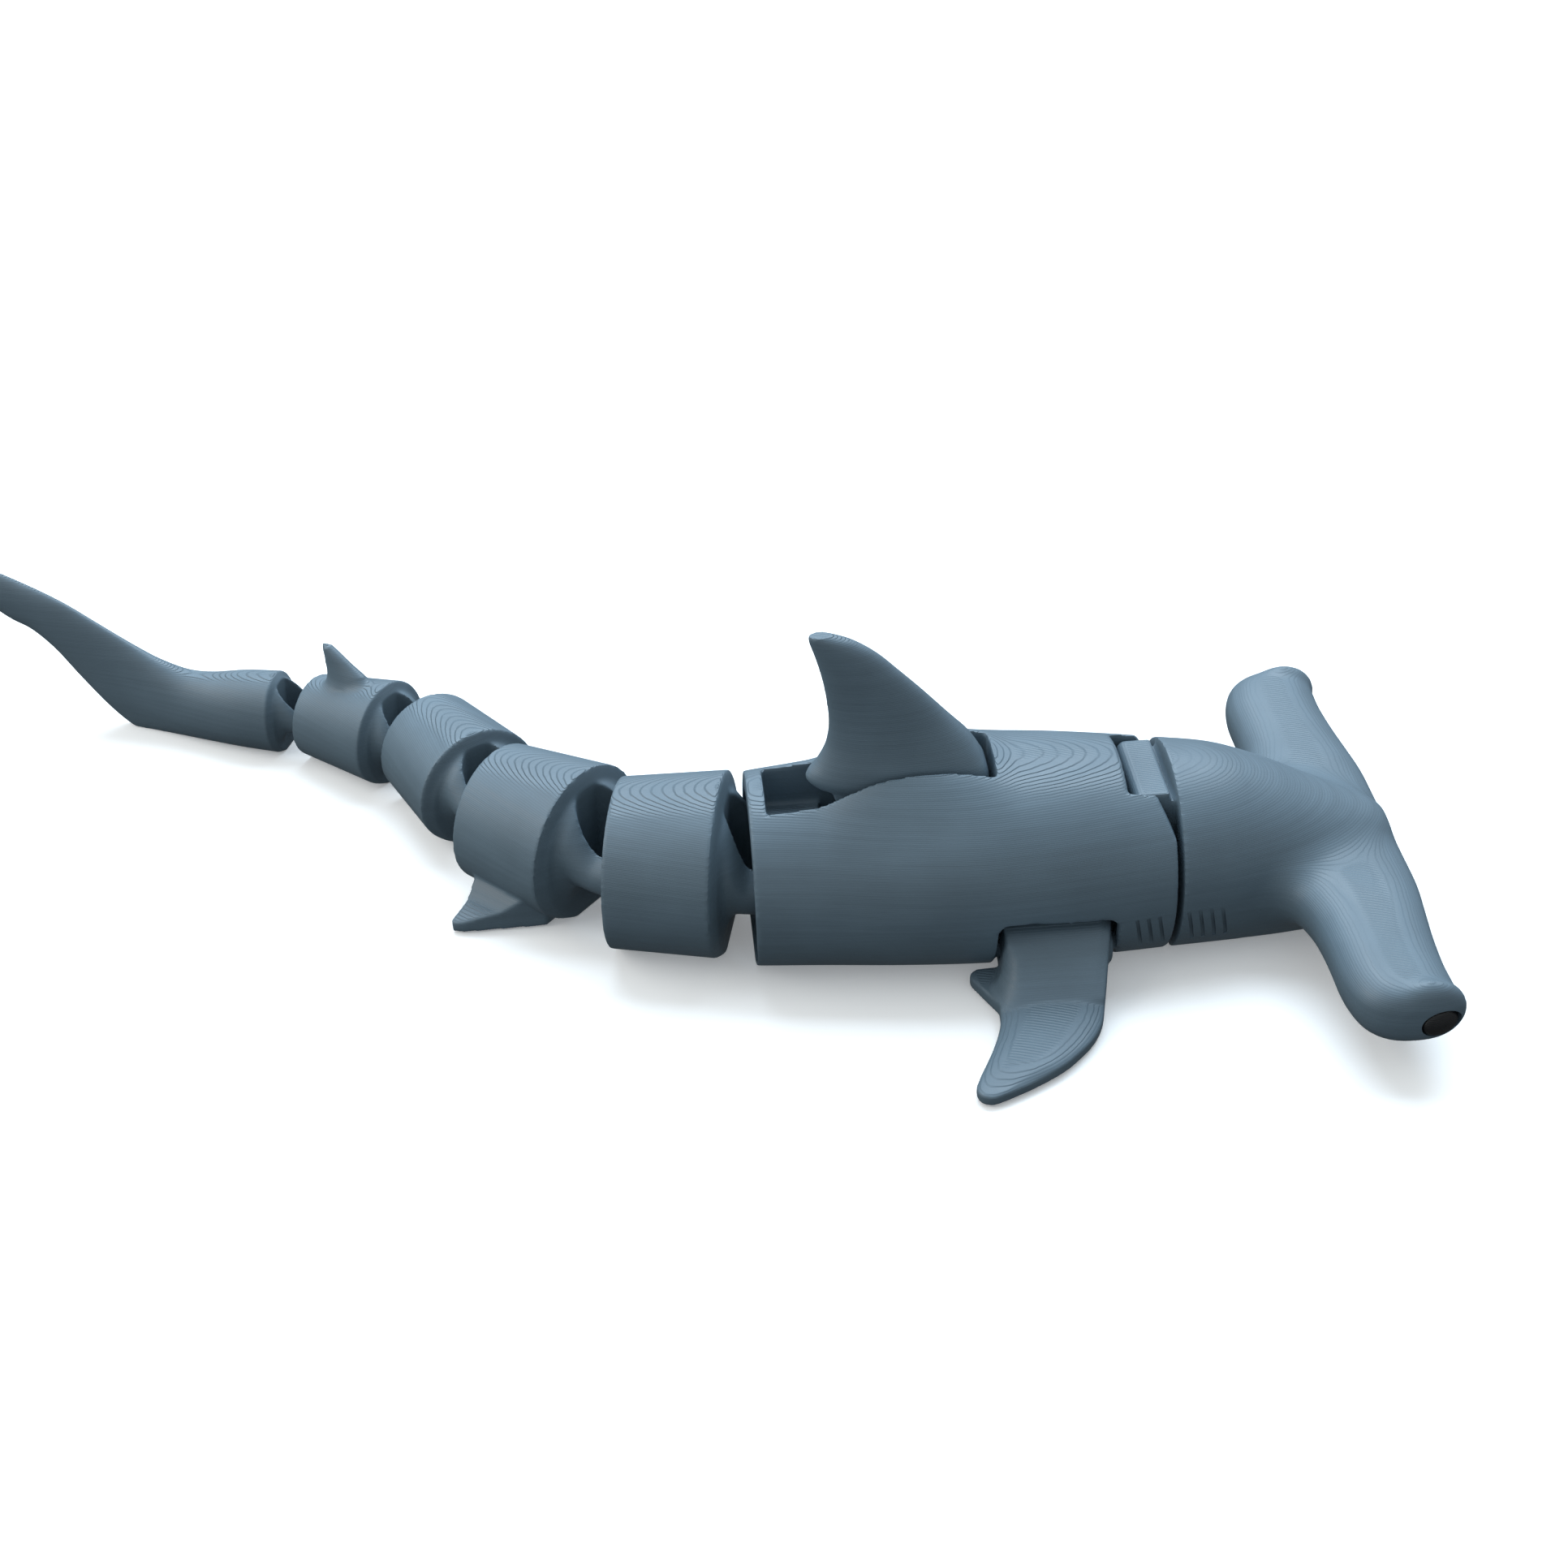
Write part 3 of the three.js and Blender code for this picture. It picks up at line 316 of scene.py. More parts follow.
class StageLights(bpy.types.PropertyGroup):
    """Strength of the studio lights"""

    window: FloatProperty(
        name="Window", description="Large soft light over the far side", default=10.2, **WATTS
    )
    fill: FloatProperty(name="Fill", description="Weak soft light from the tail's side", default=1.6, **WATTS)
    room: FloatProperty(
        name="Room", description="Brightness of the room above the floor", default=0.62, **BRIGHTNESS
    )
    under: FloatProperty(
        name="Under", description="Brightness that comes up from below", default=0.10, **BRIGHTNESS
    )


def smooth_between(rows, place, column):
    """A smooth value between the rows of a table, through every row; column 0 is the place."""
    last = len(rows) - 1
    at = min(max(place, rows[0][0]), rows[last][0])
    i = next((n for n in range(last) if at <= rows[n + 1][0]), last - 1)

    def slope(n):
        a, b = rows[max(0, n - 1)], rows[min(last, n + 1)]
        return (b[column] - a[column]) / (b[0] - a[0])

    span = rows[i + 1][0] - rows[i][0]
    t = (at - rows[i][0]) / span
    return (
        (2 * t**3 - 3 * t**2 + 1) * rows[i][column]
        + (t**3 - 2 * t**2 + t) * span * slope(i)
        + (3 * t**2 - 2 * t**3) * rows[i + 1][column]
        + (t**3 - t**2) * span * slope(i + 1)
    )


def steps(start, end, step):
    """Evenly spaced values from start to end, no further apart than step."""
    count = max(1, math.ceil(abs(end - start) / step))
    return [start + (end - start) * i / count for i in range(count + 1)]


def domed(share, half_width, height, belly, lift=0.0):
    """Y and Z of the point that lies at a share of the way round a domed section with a flat belly."""
    widest = height * WIDEST_SHARE
    cut = math.acos(min(0.999, belly / half_width))
    depth = widest / math.sin(cut)
    top_end = LOWER_SHARE + UPPER_SHARE
    if share < LOWER_SHARE:
        turn = -cut * (1 - share / LOWER_SHARE)
        return half_width * math.cos(turn), widest + depth * math.sin(turn) + lift
    if share <= top_end:
        turn = math.pi * (share - LOWER_SHARE) / UPPER_SHARE
        return half_width * math.cos(turn), widest + (height - widest) * math.sin(turn) + lift
    if share < top_end + LOWER_SHARE:
        turn = -cut * (share - top_end) / LOWER_SHARE
        return -half_width * math.cos(turn), widest + depth * math.sin(turn) + lift
    flat = (share - top_end - LOWER_SHARE) / (1 - top_end - LOWER_SHARE)
    return -belly + 2 * belly * flat, lift


def rolled(around, rings, place):
    """A grid rolled up, with its seam merged and both ends filled; place(share, ring) gives each point."""
    bm = bmesh.new()
    bmesh.ops.create_grid(bm, x_segments=around, y_segments=len(rings) - 1, size=0.5)
    for v in bm.verts:
        ring = rings[round((v.co.y + 0.5) * (len(rings) - 1))]
        v.co = place((v.co.x + 0.5) % 1.0 if v.co.x < 0.4999 else 0.0, ring)
    bmesh.ops.remove_doubles(bm, verts=bm.verts, dist=1e-5)
    bmesh.ops.holes_fill(bm, edges=[e for e in bm.edges if e.is_boundary], sides=0)
    bmesh.ops.recalc_face_normals(bm, faces=bm.faces)
    return bm


def squared(value, power):
    """A sine or cosine raised to a power, with its sign."""
    return math.copysign(abs(value) ** power, value)


def sections(rings):
    """A skin over domed sections; a ring is place along X, half width, height, belly and lift."""

    def place(share, ring):
        y, z = domed(share, *ring[1:])
        return Vector((ring[0], y, z))

    return rolled(ROUND, rings, place)


def slab(outline, width, across="y", start=None):
    """An outline pushed to a width across one axis; it is given in the other two, in their order."""
    low = -width / 2 if start is None else start
    bm = bmesh.new()
    spots = {
        "y": lambda u, v: (u, low, v),
        "x": lambda u, v: (low, u, v),
        "z": lambda u, v: (u, v, low),
    }[across]
    corners = [bm.verts.new(spots(u, v)) for u, v in outline]
    bmesh.ops.contextual_create(bm, geom=corners)
    pushed = bmesh.ops.extrude_face_region(bm, geom=bm.faces[:])
    way = {"y": (0, width, 0), "x": (width, 0, 0), "z": (0, 0, width)}[across]
    bmesh.ops.translate(bm, vec=way, verts=[g for g in pushed["geom"] if isinstance(g, bmesh.types.BMVert)])
    bmesh.ops.recalc_face_normals(bm, faces=bm.faces)
    return bm


def rod(radius, length, axis, place):
    """A round bar with its middle at a place."""
    bm = bmesh.new()
    turn = {"x": Euler((0, math.pi / 2, 0)), "y": Euler((math.pi / 2, 0, 0)), "z": Euler((0, 0, 0))}[axis]
    bmesh.ops.create_cone(
        bm,
        cap_ends=True,
        segments=64,
        radius1=radius,
        radius2=radius,
        depth=length,
        matrix=Matrix.Translation(place) @ turn.to_matrix().to_4x4(),
    )
    return bm


def block(x0, x1, y0, y1, z0, z1):
    """A cutter with flat sides between two corners."""
    return slab(((x0, z0), (x1, z0), (x1, z1), (x0, z1)), y1 - y0, "y", y0)


def mirrored(bm):
    """The same shape on the other side of the middle plane."""
    twin = bm.copy()
    bmesh.ops.scale(twin, vec=(1, -1, 1), verts=twin.verts)
    bmesh.ops.reverse_faces(twin, faces=twin.faces)
    return twin


def both_sides(word, tool):
    """The same job on the right side and on the left."""
    return [(word, mirrored(tool)), (word, tool)]


def moved(bm, matrix):
    """The same shape, moved by a matrix."""
    bmesh.ops.transform(bm, matrix=matrix, verts=bm.verts)
    return bm


def shifted(bm, x):
    """The same shape, moved along X."""
    bmesh.ops.translate(bm, vec=(x, 0, 0), verts=bm.verts)
    return bm


def linked(name, data):
    """A new object in the scene."""
    made = bpy.data.objects.new(name, data)
    bpy.context.scene.collection.objects.link(made)
    return made


def as_object(bm, name):
    """A new object from a bmesh, which is freed."""
    mesh = bpy.data.meshes.new(name)
    bm.to_mesh(mesh)
    bm.free()
    return linked(name, mesh)


def worked(base, jobs, cell=None, smooth=3):
    """The base after every job, each a word (join, cut or keep) and a tool; a cell size softens its edges."""
    made = as_object(base, "workpiece")
    tools = []
    words = {"join": "UNION", "cut": "DIFFERENCE", "keep": "INTERSECT"}
    for word, tool in jobs:
        tools.append(as_object(tool, "tool"))
        job = made.modifiers.new(word, "BOOLEAN")
        job.operation = words[word]
        job.solver = "MANIFOLD"
        job.object = tools[-1]
    if cell:
        cells = made.modifiers.new("cells", "REMESH")
        cells.mode = "VOXEL"
        cells.voxel_size = cell
        if smooth:
            soft = made.modifiers.new("soft", "SMOOTH")
            soft.factor = 0.5
            soft.iterations = smooth
    bpy.context.view_layer.update()
    mesh = bpy.data.meshes.new_from_object(made.evaluated_get(bpy.context.evaluated_depsgraph_get()))
    bm = bmesh.new()
    bm.from_mesh(mesh)
    bpy.data.meshes.remove(mesh)
    for spent in [made] + tools:
        data = spent.data
        bpy.data.objects.remove(spent)
        bpy.data.meshes.remove(data)
    if not bm.faces:
        raise RuntimeError("a workpiece came out empty")
    return bm


def relaxed(bm, verts, passes):
    """Draws points towards their neighbours, once in every pass."""
    for _ in range(passes):
        bmesh.ops.smooth_vert(bm, verts=verts, factor=0.5, use_axis_x=True, use_axis_y=True, use_axis_z=True)


def filleted(bm, where, spread, passes):
    """Fills the hollow creases of a fine mesh: the points near them, picked by where, are drawn smooth."""
    near = {
        v
        for e in bm.edges
        if len(e.link_faces) == 2 and e.calc_face_angle_signed() < -CREASE_ANGLE and where(e.verts[0].co)
        for v in e.verts
    }
    edge = near
    for _ in range(spread):
        edge = {e.other_vert(v) for v in edge for e in v.link_edges} - near
        near = near | edge
    relaxed(bm, [v for v in near if where(v.co)], passes)


def finished(bm, name, finish, body, nodes, place=None):
    """Puts a piece at its place in metres, gives it its finish, and ties it to the frame."""
    if place is not None:
        moved(bm, place)
    bmesh.ops.scale(bm, vec=(MM, MM, MM), verts=bm.verts)
    for face in bm.faces:
        face.smooth = True
    for edge in bm.edges:
        edge.smooth = edge.calc_face_angle(0.0) < SHARP_ANGLE
    made = as_object(bm, name)
    made.data.materials.append(finish)
    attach(made, body)
    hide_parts(*nodes)
    return made


def cell_size():
    """Edge softness in millimetres."""
    return bpy.context.scene.shark_sizes.grain / MM


# Finishes
def node(tree, kind, **settings):
    made = tree.nodes.new(kind)
    for name, value in settings.items():
        setattr(made, name, value)
    return made


def sum_of(tree, operation, *values):
    """A Math node; a value is a number or a socket."""
    made = node(tree, "ShaderNodeMath", operation=operation)
    for place, value in enumerate(values):
        if isinstance(value, (int, float)):
            made.inputs[place].default_value = value
        else:
            tree.links.new(value, made.inputs[place])
    return made.outputs[0]


def apart(tree, vector):
    """The X, Y and Z sockets of a vector."""
    made = node(tree, "ShaderNodeSeparateXYZ")
    tree.links.new(vector, made.inputs[0])
    return made.outputs


def plus(tree, a, b):
    return sum_of(tree, "ADD", a, b)


def times(tree, a, b):
    return sum_of(tree, "MULTIPLY", a, b)


def ranged(tree, value, low, high, to_low=0.0, to_high=1.0, ease="SMOOTHSTEP"):
    """A value brought from one range to another, and held at its ends."""
    made = node(tree, "ShaderNodeMapRange", interpolation_type=ease)
    tree.links.new(value, made.inputs["Value"])
    for name, number in (("From Min", low), ("From Max", high), ("To Min", to_low), ("To Max", to_high)):
        made.inputs[name].default_value = number
    return made.outputs["Result"]


def spread_of(tree, noise_value, to_low, to_high, ease="SMOOTHSTEP"):
    """The used part of a noise, brought to a range."""
    return ranged(tree, noise_value, NOISE_LOW, NOISE_HIGH, to_low, to_high, ease)


def blended(tree, factor, a, b):
    """A blend of two numbers or sockets."""
    made = node(tree, "ShaderNodeMix", data_type="FLOAT")
    for name, value in ((0, factor), (2, a), (3, b)):
        if isinstance(value, (int, float)):
            made.inputs[name].default_value = value
        else:
            tree.links.new(value, made.inputs[name])
    return made.outputs[0]


def noise(tree, vector, scale, detail, rough):
    """A soft noise between 0 and 1."""
    made = node(tree, "ShaderNodeTexNoise")
    tree.links.new(vector, made.inputs["Vector"])
    made.inputs["Scale"].default_value = scale
    made.inputs["Detail"].default_value = detail
    made.inputs["Roughness"].default_value = rough
    return made.outputs["Fac"]


def stretched(tree, vector, scale):
    """Coordinates scaled by a different number along each axis."""
    made = node(tree, "ShaderNodeMapping")
    tree.links.new(vector, made.inputs["Vector"])
    made.inputs["Scale"].default_value = scale
    return made.outputs["Vector"]


def fresh_finish(name, roughness):
    """A new material with its tree, its shader and Object coordinates."""
    finish = bpy.data.materials.new(name)
    finish.use_nodes = True
    tree = finish.node_tree
    tree.nodes.clear()
    shader = node(tree, "ShaderNodeBsdfPrincipled")
    out = node(tree, "ShaderNodeOutputMaterial")
    tree.links.new(shader.outputs["BSDF"], out.inputs["Surface"])
    shader.inputs["Roughness"].default_value = roughness
    return finish, tree, shader, node(tree, "ShaderNodeTexCoord")


def coloured(tree, shader, base, brightness):
    """Ties a base colour to the shader, made lighter and darker by a socket."""
    shade = node(tree, "ShaderNodeHueSaturation")
    shade.inputs["Color"].default_value = (*base, 1.0)
    tree.links.new(brightness, shade.inputs["Value"])
    tree.links.new(shade.outputs["Color"], shader.inputs["Base Color"])


def embossed(tree, shader, relief, layer):
    """Ties a relief, in layers, to the shader."""
    bump = node(tree, "ShaderNodeBump")
    bump.inputs["Strength"].default_value = 1.0
    bump.inputs["Distance"].default_value = layer
    tree.links.new(relief, bump.inputs["Height"])
    tree.links.new(bump.outputs["Normal"], shader.inputs["Normal"])


def printed_plastic(name, step):
    """Matte filament in layers: steps of some depth on shallow slopes, and fine lines on the flanks."""
    layer = bpy.context.scene.shark_sizes.layer
    finish, tree, shader, coords = fresh_finish(name, 0.5)
    spot = coords.outputs["Object"]
    place, up = apart(tree, spot), apart(tree, coords.outputs["Normal"])
    # the layers waver a little, which shows where the surface is nearly level
    waver = noise(tree, spot, 520.0, 2.0, 0.5)
    height = sum_of(tree, "DIVIDE", plus(tree, place["Z"], layer / 2), layer)
    height = plus(tree, height, spread_of(tree, waver, -WAVER_REACH, WAVER_REACH, "LINEAR"))
    within = sum_of(tree, "FRACT", height)
    rising = ranged(tree, within, 0.0, RISER_SHARE)
    falling = ranged(tree, within, RISER_SHARE, 1.0, 1.0, 0.0, "LINEAR")
    tread = sum_of(tree, "MINIMUM", rising, falling)
    bead = sum_of(tree, "SINE", times(tree, within, math.pi))
    shallow = ranged(tree, up["Z"], SHALLOW_FROM, SHALLOW_TO)
    relief = blended(tree, shallow, times(tree, bead, BEAD_DEPTH), times(tree, tread, step))
    # paths of the top layer, laid side by side on the flattest places
    flat = ranged(tree, up["Z"], LEVEL_FROM, LEVEL_TO)
    path = plus(tree, place["Y"], times(tree, place["X"], RIB_SLANT))
    ribs = sum_of(tree, "SINE", times(tree, path, 2 * math.pi / (RIB_SPACING * layer)))
    relief = plus(tree, relief, times(tree, times(tree, ribs, RIB_DEPTH), flat))
    # slight waver from layer to layer
    streaks = noise(tree, stretched(tree, spot, (45, 45, 2600)), 1.0, 2.0, 0.6)
    embossed(tree, shader, plus(tree, relief, times(tree, streaks, STREAK_DEPTH)), layer)
    # colour: a little lighter and darker from layer to layer, and in wide soft patches
    patches = noise(tree, spot, 70.0, 3.0, 0.55)
    tone = plus(tree, spread_of(tree, streaks, -0.04, 0.04), spread_of(tree, patches, -0.06, 0.06))
    coloured(tree, shader, bpy.context.scene.shark_colours.body, plus(tree, tone, 1.0))
    tree.links.new(spread_of(tree, streaks, 0.44, 0.56), shader.inputs["Roughness"])
    return finish


def eye_plastic():
    """Black plastic with faint layers and a soft gloss."""
    layer = bpy.context.scene.shark_sizes.layer
    finish, tree, shader, coords = fresh_finish("black eye plastic", 0.38)
    place = apart(tree, coords.outputs["Object"])
    within = sum_of(tree, "FRACT", sum_of(tree, "DIVIDE", place["Z"], layer))
    bead = sum_of(tree, "SINE", times(tree, within, math.pi))
    specks = noise(tree, coords.outputs["Object"], 900.0, 3.0, 0.6)
    embossed(tree, shader, plus(tree, times(tree, bead, EYE_BEAD), times(tree, specks, EYE_SPECKS)), layer)
    coloured(tree, shader, bpy.context.scene.shark_colours.eye, spread_of(tree, specks, 0.8, 1.3))
    tree.links.new(spread_of(tree, specks, 0.32, 0.5), shader.inputs["Roughness"])
    return finish


def floor_paint():
    """Pale floor with a barely seen unevenness and a faint glow, which keeps its shadows soft."""
    finish, tree, shader, coords = fresh_finish("pale floor", 0.8)
    patches = noise(tree, coords.outputs["Object"], 6.0, 3.0, 0.5)
    coloured(tree, shader, bpy.context.scene.shark_colours.floor, spread_of(tree, patches, 0.985, 1.0))
    shader.inputs["Emission Color"].default_value = FLOOR_GLOW_COLOUR
    shader.inputs["Emission Strength"].default_value = FLOOR_GLOW
    return finish


def plastic(step=BODY_STEP):
    """The plastic of the body, made once for each depth of step."""
    name = "printed blue-grey plastic, step %.2f" % step
    return bpy.data.materials.get(name) or printed_plastic(name, step)


# Shapes that several pieces share
def body_skin(rows, start, end):
    """Skin of the torso or the head between two places along X."""
    places = steps(start, end, 0.9)
    return sections([(x, *(smooth_between(rows, x, c) for c in (1, 2, 3)), 0.0) for x in places])


def rear_pocket(rim, depth, ceiling):
    """Room inside the rear end of a piece for the loop of the next one; the rim is at X = 0 and +X is ahead."""
    inner = rim[0] * LOOP_END_SHARE + 1.0
    mouth = rim[0] - WALL
    flare = WALL - LIP
    rings = [(x, mouth + flare, ceiling - FLOOR_WALL + flare, mouth * 0.62, FLOOR_WALL) for x in (-1.0, 0.0)]
    for t in (LIP_DEPTH / depth, 0.3, 0.55, 0.75, 0.9, 1.0):
        share = math.sqrt(max(0.0, 1 - t**3))
        half = max(1.2, mouth * max(share, 0.05) * (1 - 0.18 * t))
        wide = max(half, inner * min(1.0, 1.25 - 0.45 * t)) if t < 0.76 else half
        rings.append((depth * t, wide, ceiling - FLOOR_WALL, wide * 0.62, FLOOR_WALL))
    return sections(rings)


def pocket_depth(rim, play):
    """How far a rear pocket reaches ahead of its rim."""
    return rim[0] * PIN_INSET_SHARE + play + rim[0] * LOOP_END_SHARE + 1.0


def hinge_pin(rim, x, ceiling):
    """Upright pin across a rear pocket, fused to its floor and ceiling."""
    return rod(rim[0] * PIN_SHARE, ceiling + 1.4, "z", (x, 0, (ceiling + 2.6) / 2))


def gill_cuts(places, rows):
    """Thin cutters for the gill slits, both sides."""
    cuts = []
    for x in places:
        tall, middle = GILL_HIGH - GILL_LOW, (GILL_LOW + GILL_HIGH) / 2
        half, height, belly = (smooth_between(rows, x, c) for c in (1, 2, 3))
        widest = height * WIDEST_SHARE
        flank = half * math.sqrt(1 - ((widest - middle) / widest) ** 2 * (1 - (belly / half) ** 2))
        blade = block(-GILL_WIDTH / 2, GILL_WIDTH / 2, -GILL_DEPTH, GILL_DEPTH, -tall / 2, tall / 2)
        lean = Euler((math.radians(-GILL_LEAN), math.radians(-GILL_SLANT), 0)).to_matrix().to_4x4()
        cuts += both_sides("cut", moved(blade, Matrix.Translation((x, flank, middle)) @ lean))
    return cuts


def torso_skin():
    """The body from end to end of the torso, swelling softly round the foot of the back fin."""
    made = body_skin(BODY_ROWS, TORSO_REAR, TORSO_FRONT)
    for v in made.verts:
        reach = SWELL_AHEAD if v.co.x > SWELL_MIDDLE else SWELL_BEHIND
        along = min(1.0, abs(v.co.x - SWELL_MIDDLE) / reach)
        across = min(1.0, max(0.0, abs(v.co.y) - SWELL_FLAT) / (SWELL_WIDE - SWELL_FLAT))
        if v.co.z > SLOT_SHELF - SWELL_DEPTH:
            v.co.z += SWELL_RISE * math.cos(math.pi / 2 * along) ** 1.4 * math.cos(math.pi / 2 * across) ** 2
    return made


def socket_cut():
    """Opening for a side fin on the left, open to the side and below, with an arched mouth."""
    inner, ceiling = SOCKET_INNER, SOCKET_CEILING
    outline = ((inner, -2), (40, -2), (40, 24), (16, 12.6), (14, ceiling), (inner, ceiling))
    room = slab(outline, SOCKET_FRONT - SOCKET_REAR, "x", SOCKET_REAR)
    front, fallen, bend = SOCKET_FRONT - SOCKET_LIP, SOCKET_MOUTH - SOCKET_FALL, SOCKET_ROUNDING
    turns = [(math.cos(math.pi / 2 * t), math.sin(math.pi / 2 * t)) for t in steps(0.0, 1.0, 0.1)]
    arch = [(SOCKET_REAR, -3)]
    arch += [(SOCKET_REAR + bend * (1 - c), SOCKET_MOUTH - bend * (1 - s)) for c, s in turns]
    arch += [(front - bend * (1 - s), fallen - bend * (1 - c)) for c, s in turns]
    arch.append((front, -3))
    outside = slab(arch, 27.0, "y", 13.0)
    inside = block(SOCKET_REAR, SOCKET_FRONT, inner, 13.6, -2, ceiling)
    return worked(room, [("keep", worked(outside, [("join", inside)]))])


def torso_piece():
    play, rim = TAIL_ROWS[0][3], REAR_RIM
    ceiling = SLOT_SHELF - SHELF_WALL
    ends = (TORSO_REAR - 1, SLOT_REAR - 0.5)
    mouth = sections([(x, rim[0] - WALL, MOUTH_TOP - FLOOR_WALL, rim[0] * 0.5, FLOOR_WALL) for x in ends])
    lean = math.tan(math.radians(FACE_SLOPE))
    far, back = TORSO_FRONT + 5, TORSO_FRONT - lean * (60 - FACE_VERTEX)
    face = slab(((TORSO_FRONT, FACE_VERTEX), (far, FACE_VERTEX), (far, 60), (back, 60)), 80)
    bar = rod(SIDE_PIN, SOCKET_FRONT - SOCKET_REAR + 2, "x", SIDE_PIVOT)
    jobs = [
        ("cut", shifted(rear_pocket(rim, pocket_depth(rim, play), ceiling), TORSO_REAR)),
        ("cut", mouth),
        ("join", hinge_pin(rim, TORSO_REAR + rim[0] * PIN_INSET_SHARE, ceiling)),
        ("cut", slab(SLOT_OUTLINE, 2 * SLOT_HALF_WIDTH)),
        ("join", rod(FIN_PIN, 2 * SLOT_HALF_WIDTH + 2, "y", FIN_PIVOT)),
        ("cut", face),
        ("cut", block(NOTCH_REAR, 40, -NOTCH_HALF_WIDTH, NOTCH_HALF_WIDTH, NOTCH_LOW, 60)),
        ("join", rod(NECK_PIN, 2 * NOTCH_HALF_WIDTH + 2, "y", NECK_PIVOT)),
    ]
    jobs += both_sides("cut", socket_cut()) + both_sides("join", bar)
    made = worked(torso_skin(), jobs, TORSO_CELLS * cell_size())
    made = worked(made, gill_cuts(GILLS[:3], BODY_ROWS))
    return finished(made, "torso_print", plastic(TORSO_STEP), "torso", ["torso"])


def hammer_skin():
    """Both lobes of the hammer in one skin, rounded at its edges and ends."""
    out = steps(0.0, HAMMER_STEPS_TO, 0.8) + list(HAMMER_END_PLACES)

    def place(share, y):
        rear, front, half = (smooth_between(HAMMER_ROWS, abs(y), c) for c in (1, 2, 3))
        turn = 2 * math.pi * share
        c, w = math.cos(turn), math.sin(turn)
        x = (rear + front) / 2 + (front - rear) / 2 * squared(c, HAMMER_EDGE_ROUNDING)
        return Vector((x, y, HAMMER_MIDDLE + half * squared(w, HAMMER_TOP_ROUNDING)))

    return rolled(96, [-y for y in reversed(out[1:])] + out, place)


def eye_place():
    """Turns a disc that was made about the origin, facing +Y, to its place on the end of the hammer."""
    return Matrix.Translation(EYE_PLACE) @ Matrix.Rotation(-math.radians(EYE_TURN), 4, "Z")


def eye_disc(grow):
    """Oval disc for one eye, with its face at the origin, or with some growth the open seat that it sits in."""
    bm = bmesh.new()
    clear = SEAT_OPENING if grow > 0 else 0.0
    depth = EYE_DEPTH + grow + clear
    bmesh.ops.create_cone(
        bm,
        cap_ends=True,
        segments=72,
        radius1=0.5,
        radius2=0.5,
        depth=depth,
        matrix=Euler((math.pi / 2, 0, 0)).to_matrix().to_4x4(),
    )
    bmesh.ops.scale(bm, vec=(EYE_LENGTH + 2 * grow, 1, EYE_HEIGHT + 2 * grow), verts=bm.verts)
    bmesh.ops.translate(bm, vec=(0, clear - depth / 2, 0), verts=bm.verts)
    return bm


def head_piece():
    bend = TAB_ROUNDING
    turns = [math.radians(a) for a in range(80, 0, -10)]
    outline = [(HEAD_REAR + 3, TAB_LOW), (HEAD_REAR + 0.3, TAB_HIGH), (TAB_REAR + bend, TAB_HIGH)]
    outline += [(TAB_REAR + bend * (1 - math.cos(a)), TAB_HIGH - bend * (1 - math.sin(a))) for a in turns]
    outline += [(TAB_REAR, TAB_HIGH - bend), (TAB_REAR, TAB_LOW + bend), (TAB_REAR + bend, TAB_LOW)]
    tab = slab(outline, 2 * TAB_HALF_WIDTH)
    boss = bmesh.new()
    bmesh.ops.create_uvsphere(
        boss,
        u_segments=64,
        v_segments=40,
        radius=1.0,
        matrix=Matrix.Translation(EYE_BOSS) @ Matrix.Diagonal((*EYE_BOSS_RADII, 1.0)),
    )
    seat = moved(eye_disc(EYE_GAP), eye_place())
    # the head and both lobes flow into each other on coarse cells, and everything fine is cut afterwards
    jobs = [("join", hammer_skin())] + both_sides("join", boss)
    made = worked(body_skin(HEAD_ROWS, HEAD_REAR - 4, HEAD_FRONT), jobs, HEAD_CELLS * cell_size(), 1)
    for start, half, spread, passes in HEAD_FILLETS:
        filleted(made, lambda co: co.x > start and abs(co.y) < half, spread, passes)
    groove, side = (HEAD_REAR - TAB_GROOVE[0], TAB_HIGH - TAB_GROOVE[1]), NOTCH_HALF_WIDTH
    jobs = [
        ("cut", block(0, HEAD_REAR, -40, 40, -10, 60)),
        ("cut", block(0, 80, -60, 60, -10, 0)),
        ("join", tab),
        ("cut", rod(NECK_PIN + RUNNING_GAP, 60, "y", NECK_PIVOT)),
        ("cut", block(groove[0], HEAD_REAR, -side, side, groove[1], 60)),
    ]
    made = worked(made, jobs, cell_size())
    relaxed(made, [v for v in made.verts if v.co.x > FLOW_START], FLOW_PASSES)
    made = worked(made, both_sides("cut", seat) + gill_cuts(GILLS[3:], HEAD_ROWS))
    return finished(made, "head_print", plastic(HEAD_STEP), "head", ["head"])


def eye_pieces():
    """Both eyes, rounded at the rim and slightly domed."""
    dome = bpy.context.scene.shark_sizes.eye_dome / MM
    finish = bpy.data.materials.get("black eye plastic") or eye_plastic()
    for side, name in ((1, "eye_left"), (-1, "eye_right")):
        bm = eye_disc(EYE_INSET)
        face = max(bm.faces, key=lambda f: f.calc_center_median().y)
        bmesh.ops.bevel(
            bm,
            geom=list(face.edges),
            offset=EYE_ROUNDING,
            offset_type="OFFSET",
            affect="EDGES",
            segments=6,
            profile=0.5,
            material=-1,
        )
        face = max(bm.faces, key=lambda f: f.calc_center_median().y)
        for _ in range(4):
            bmesh.ops.inset_region(bm, faces=[face], thickness=EYE_RING)
        for v in bm.verts:
            if v.co.y > -EYE_ROUNDING - 0.1:
                v.co.y -= dome * (math.hypot(v.co.x / EYE_LENGTH, v.co.z / EYE_HEIGHT) * 2) ** 2
        moved(bm, eye_place())
        if side < 0:
            twin = mirrored(bm)
            bm.free()
            bm = twin
        finished(bm, name + "_disc", finish, "head", [name])


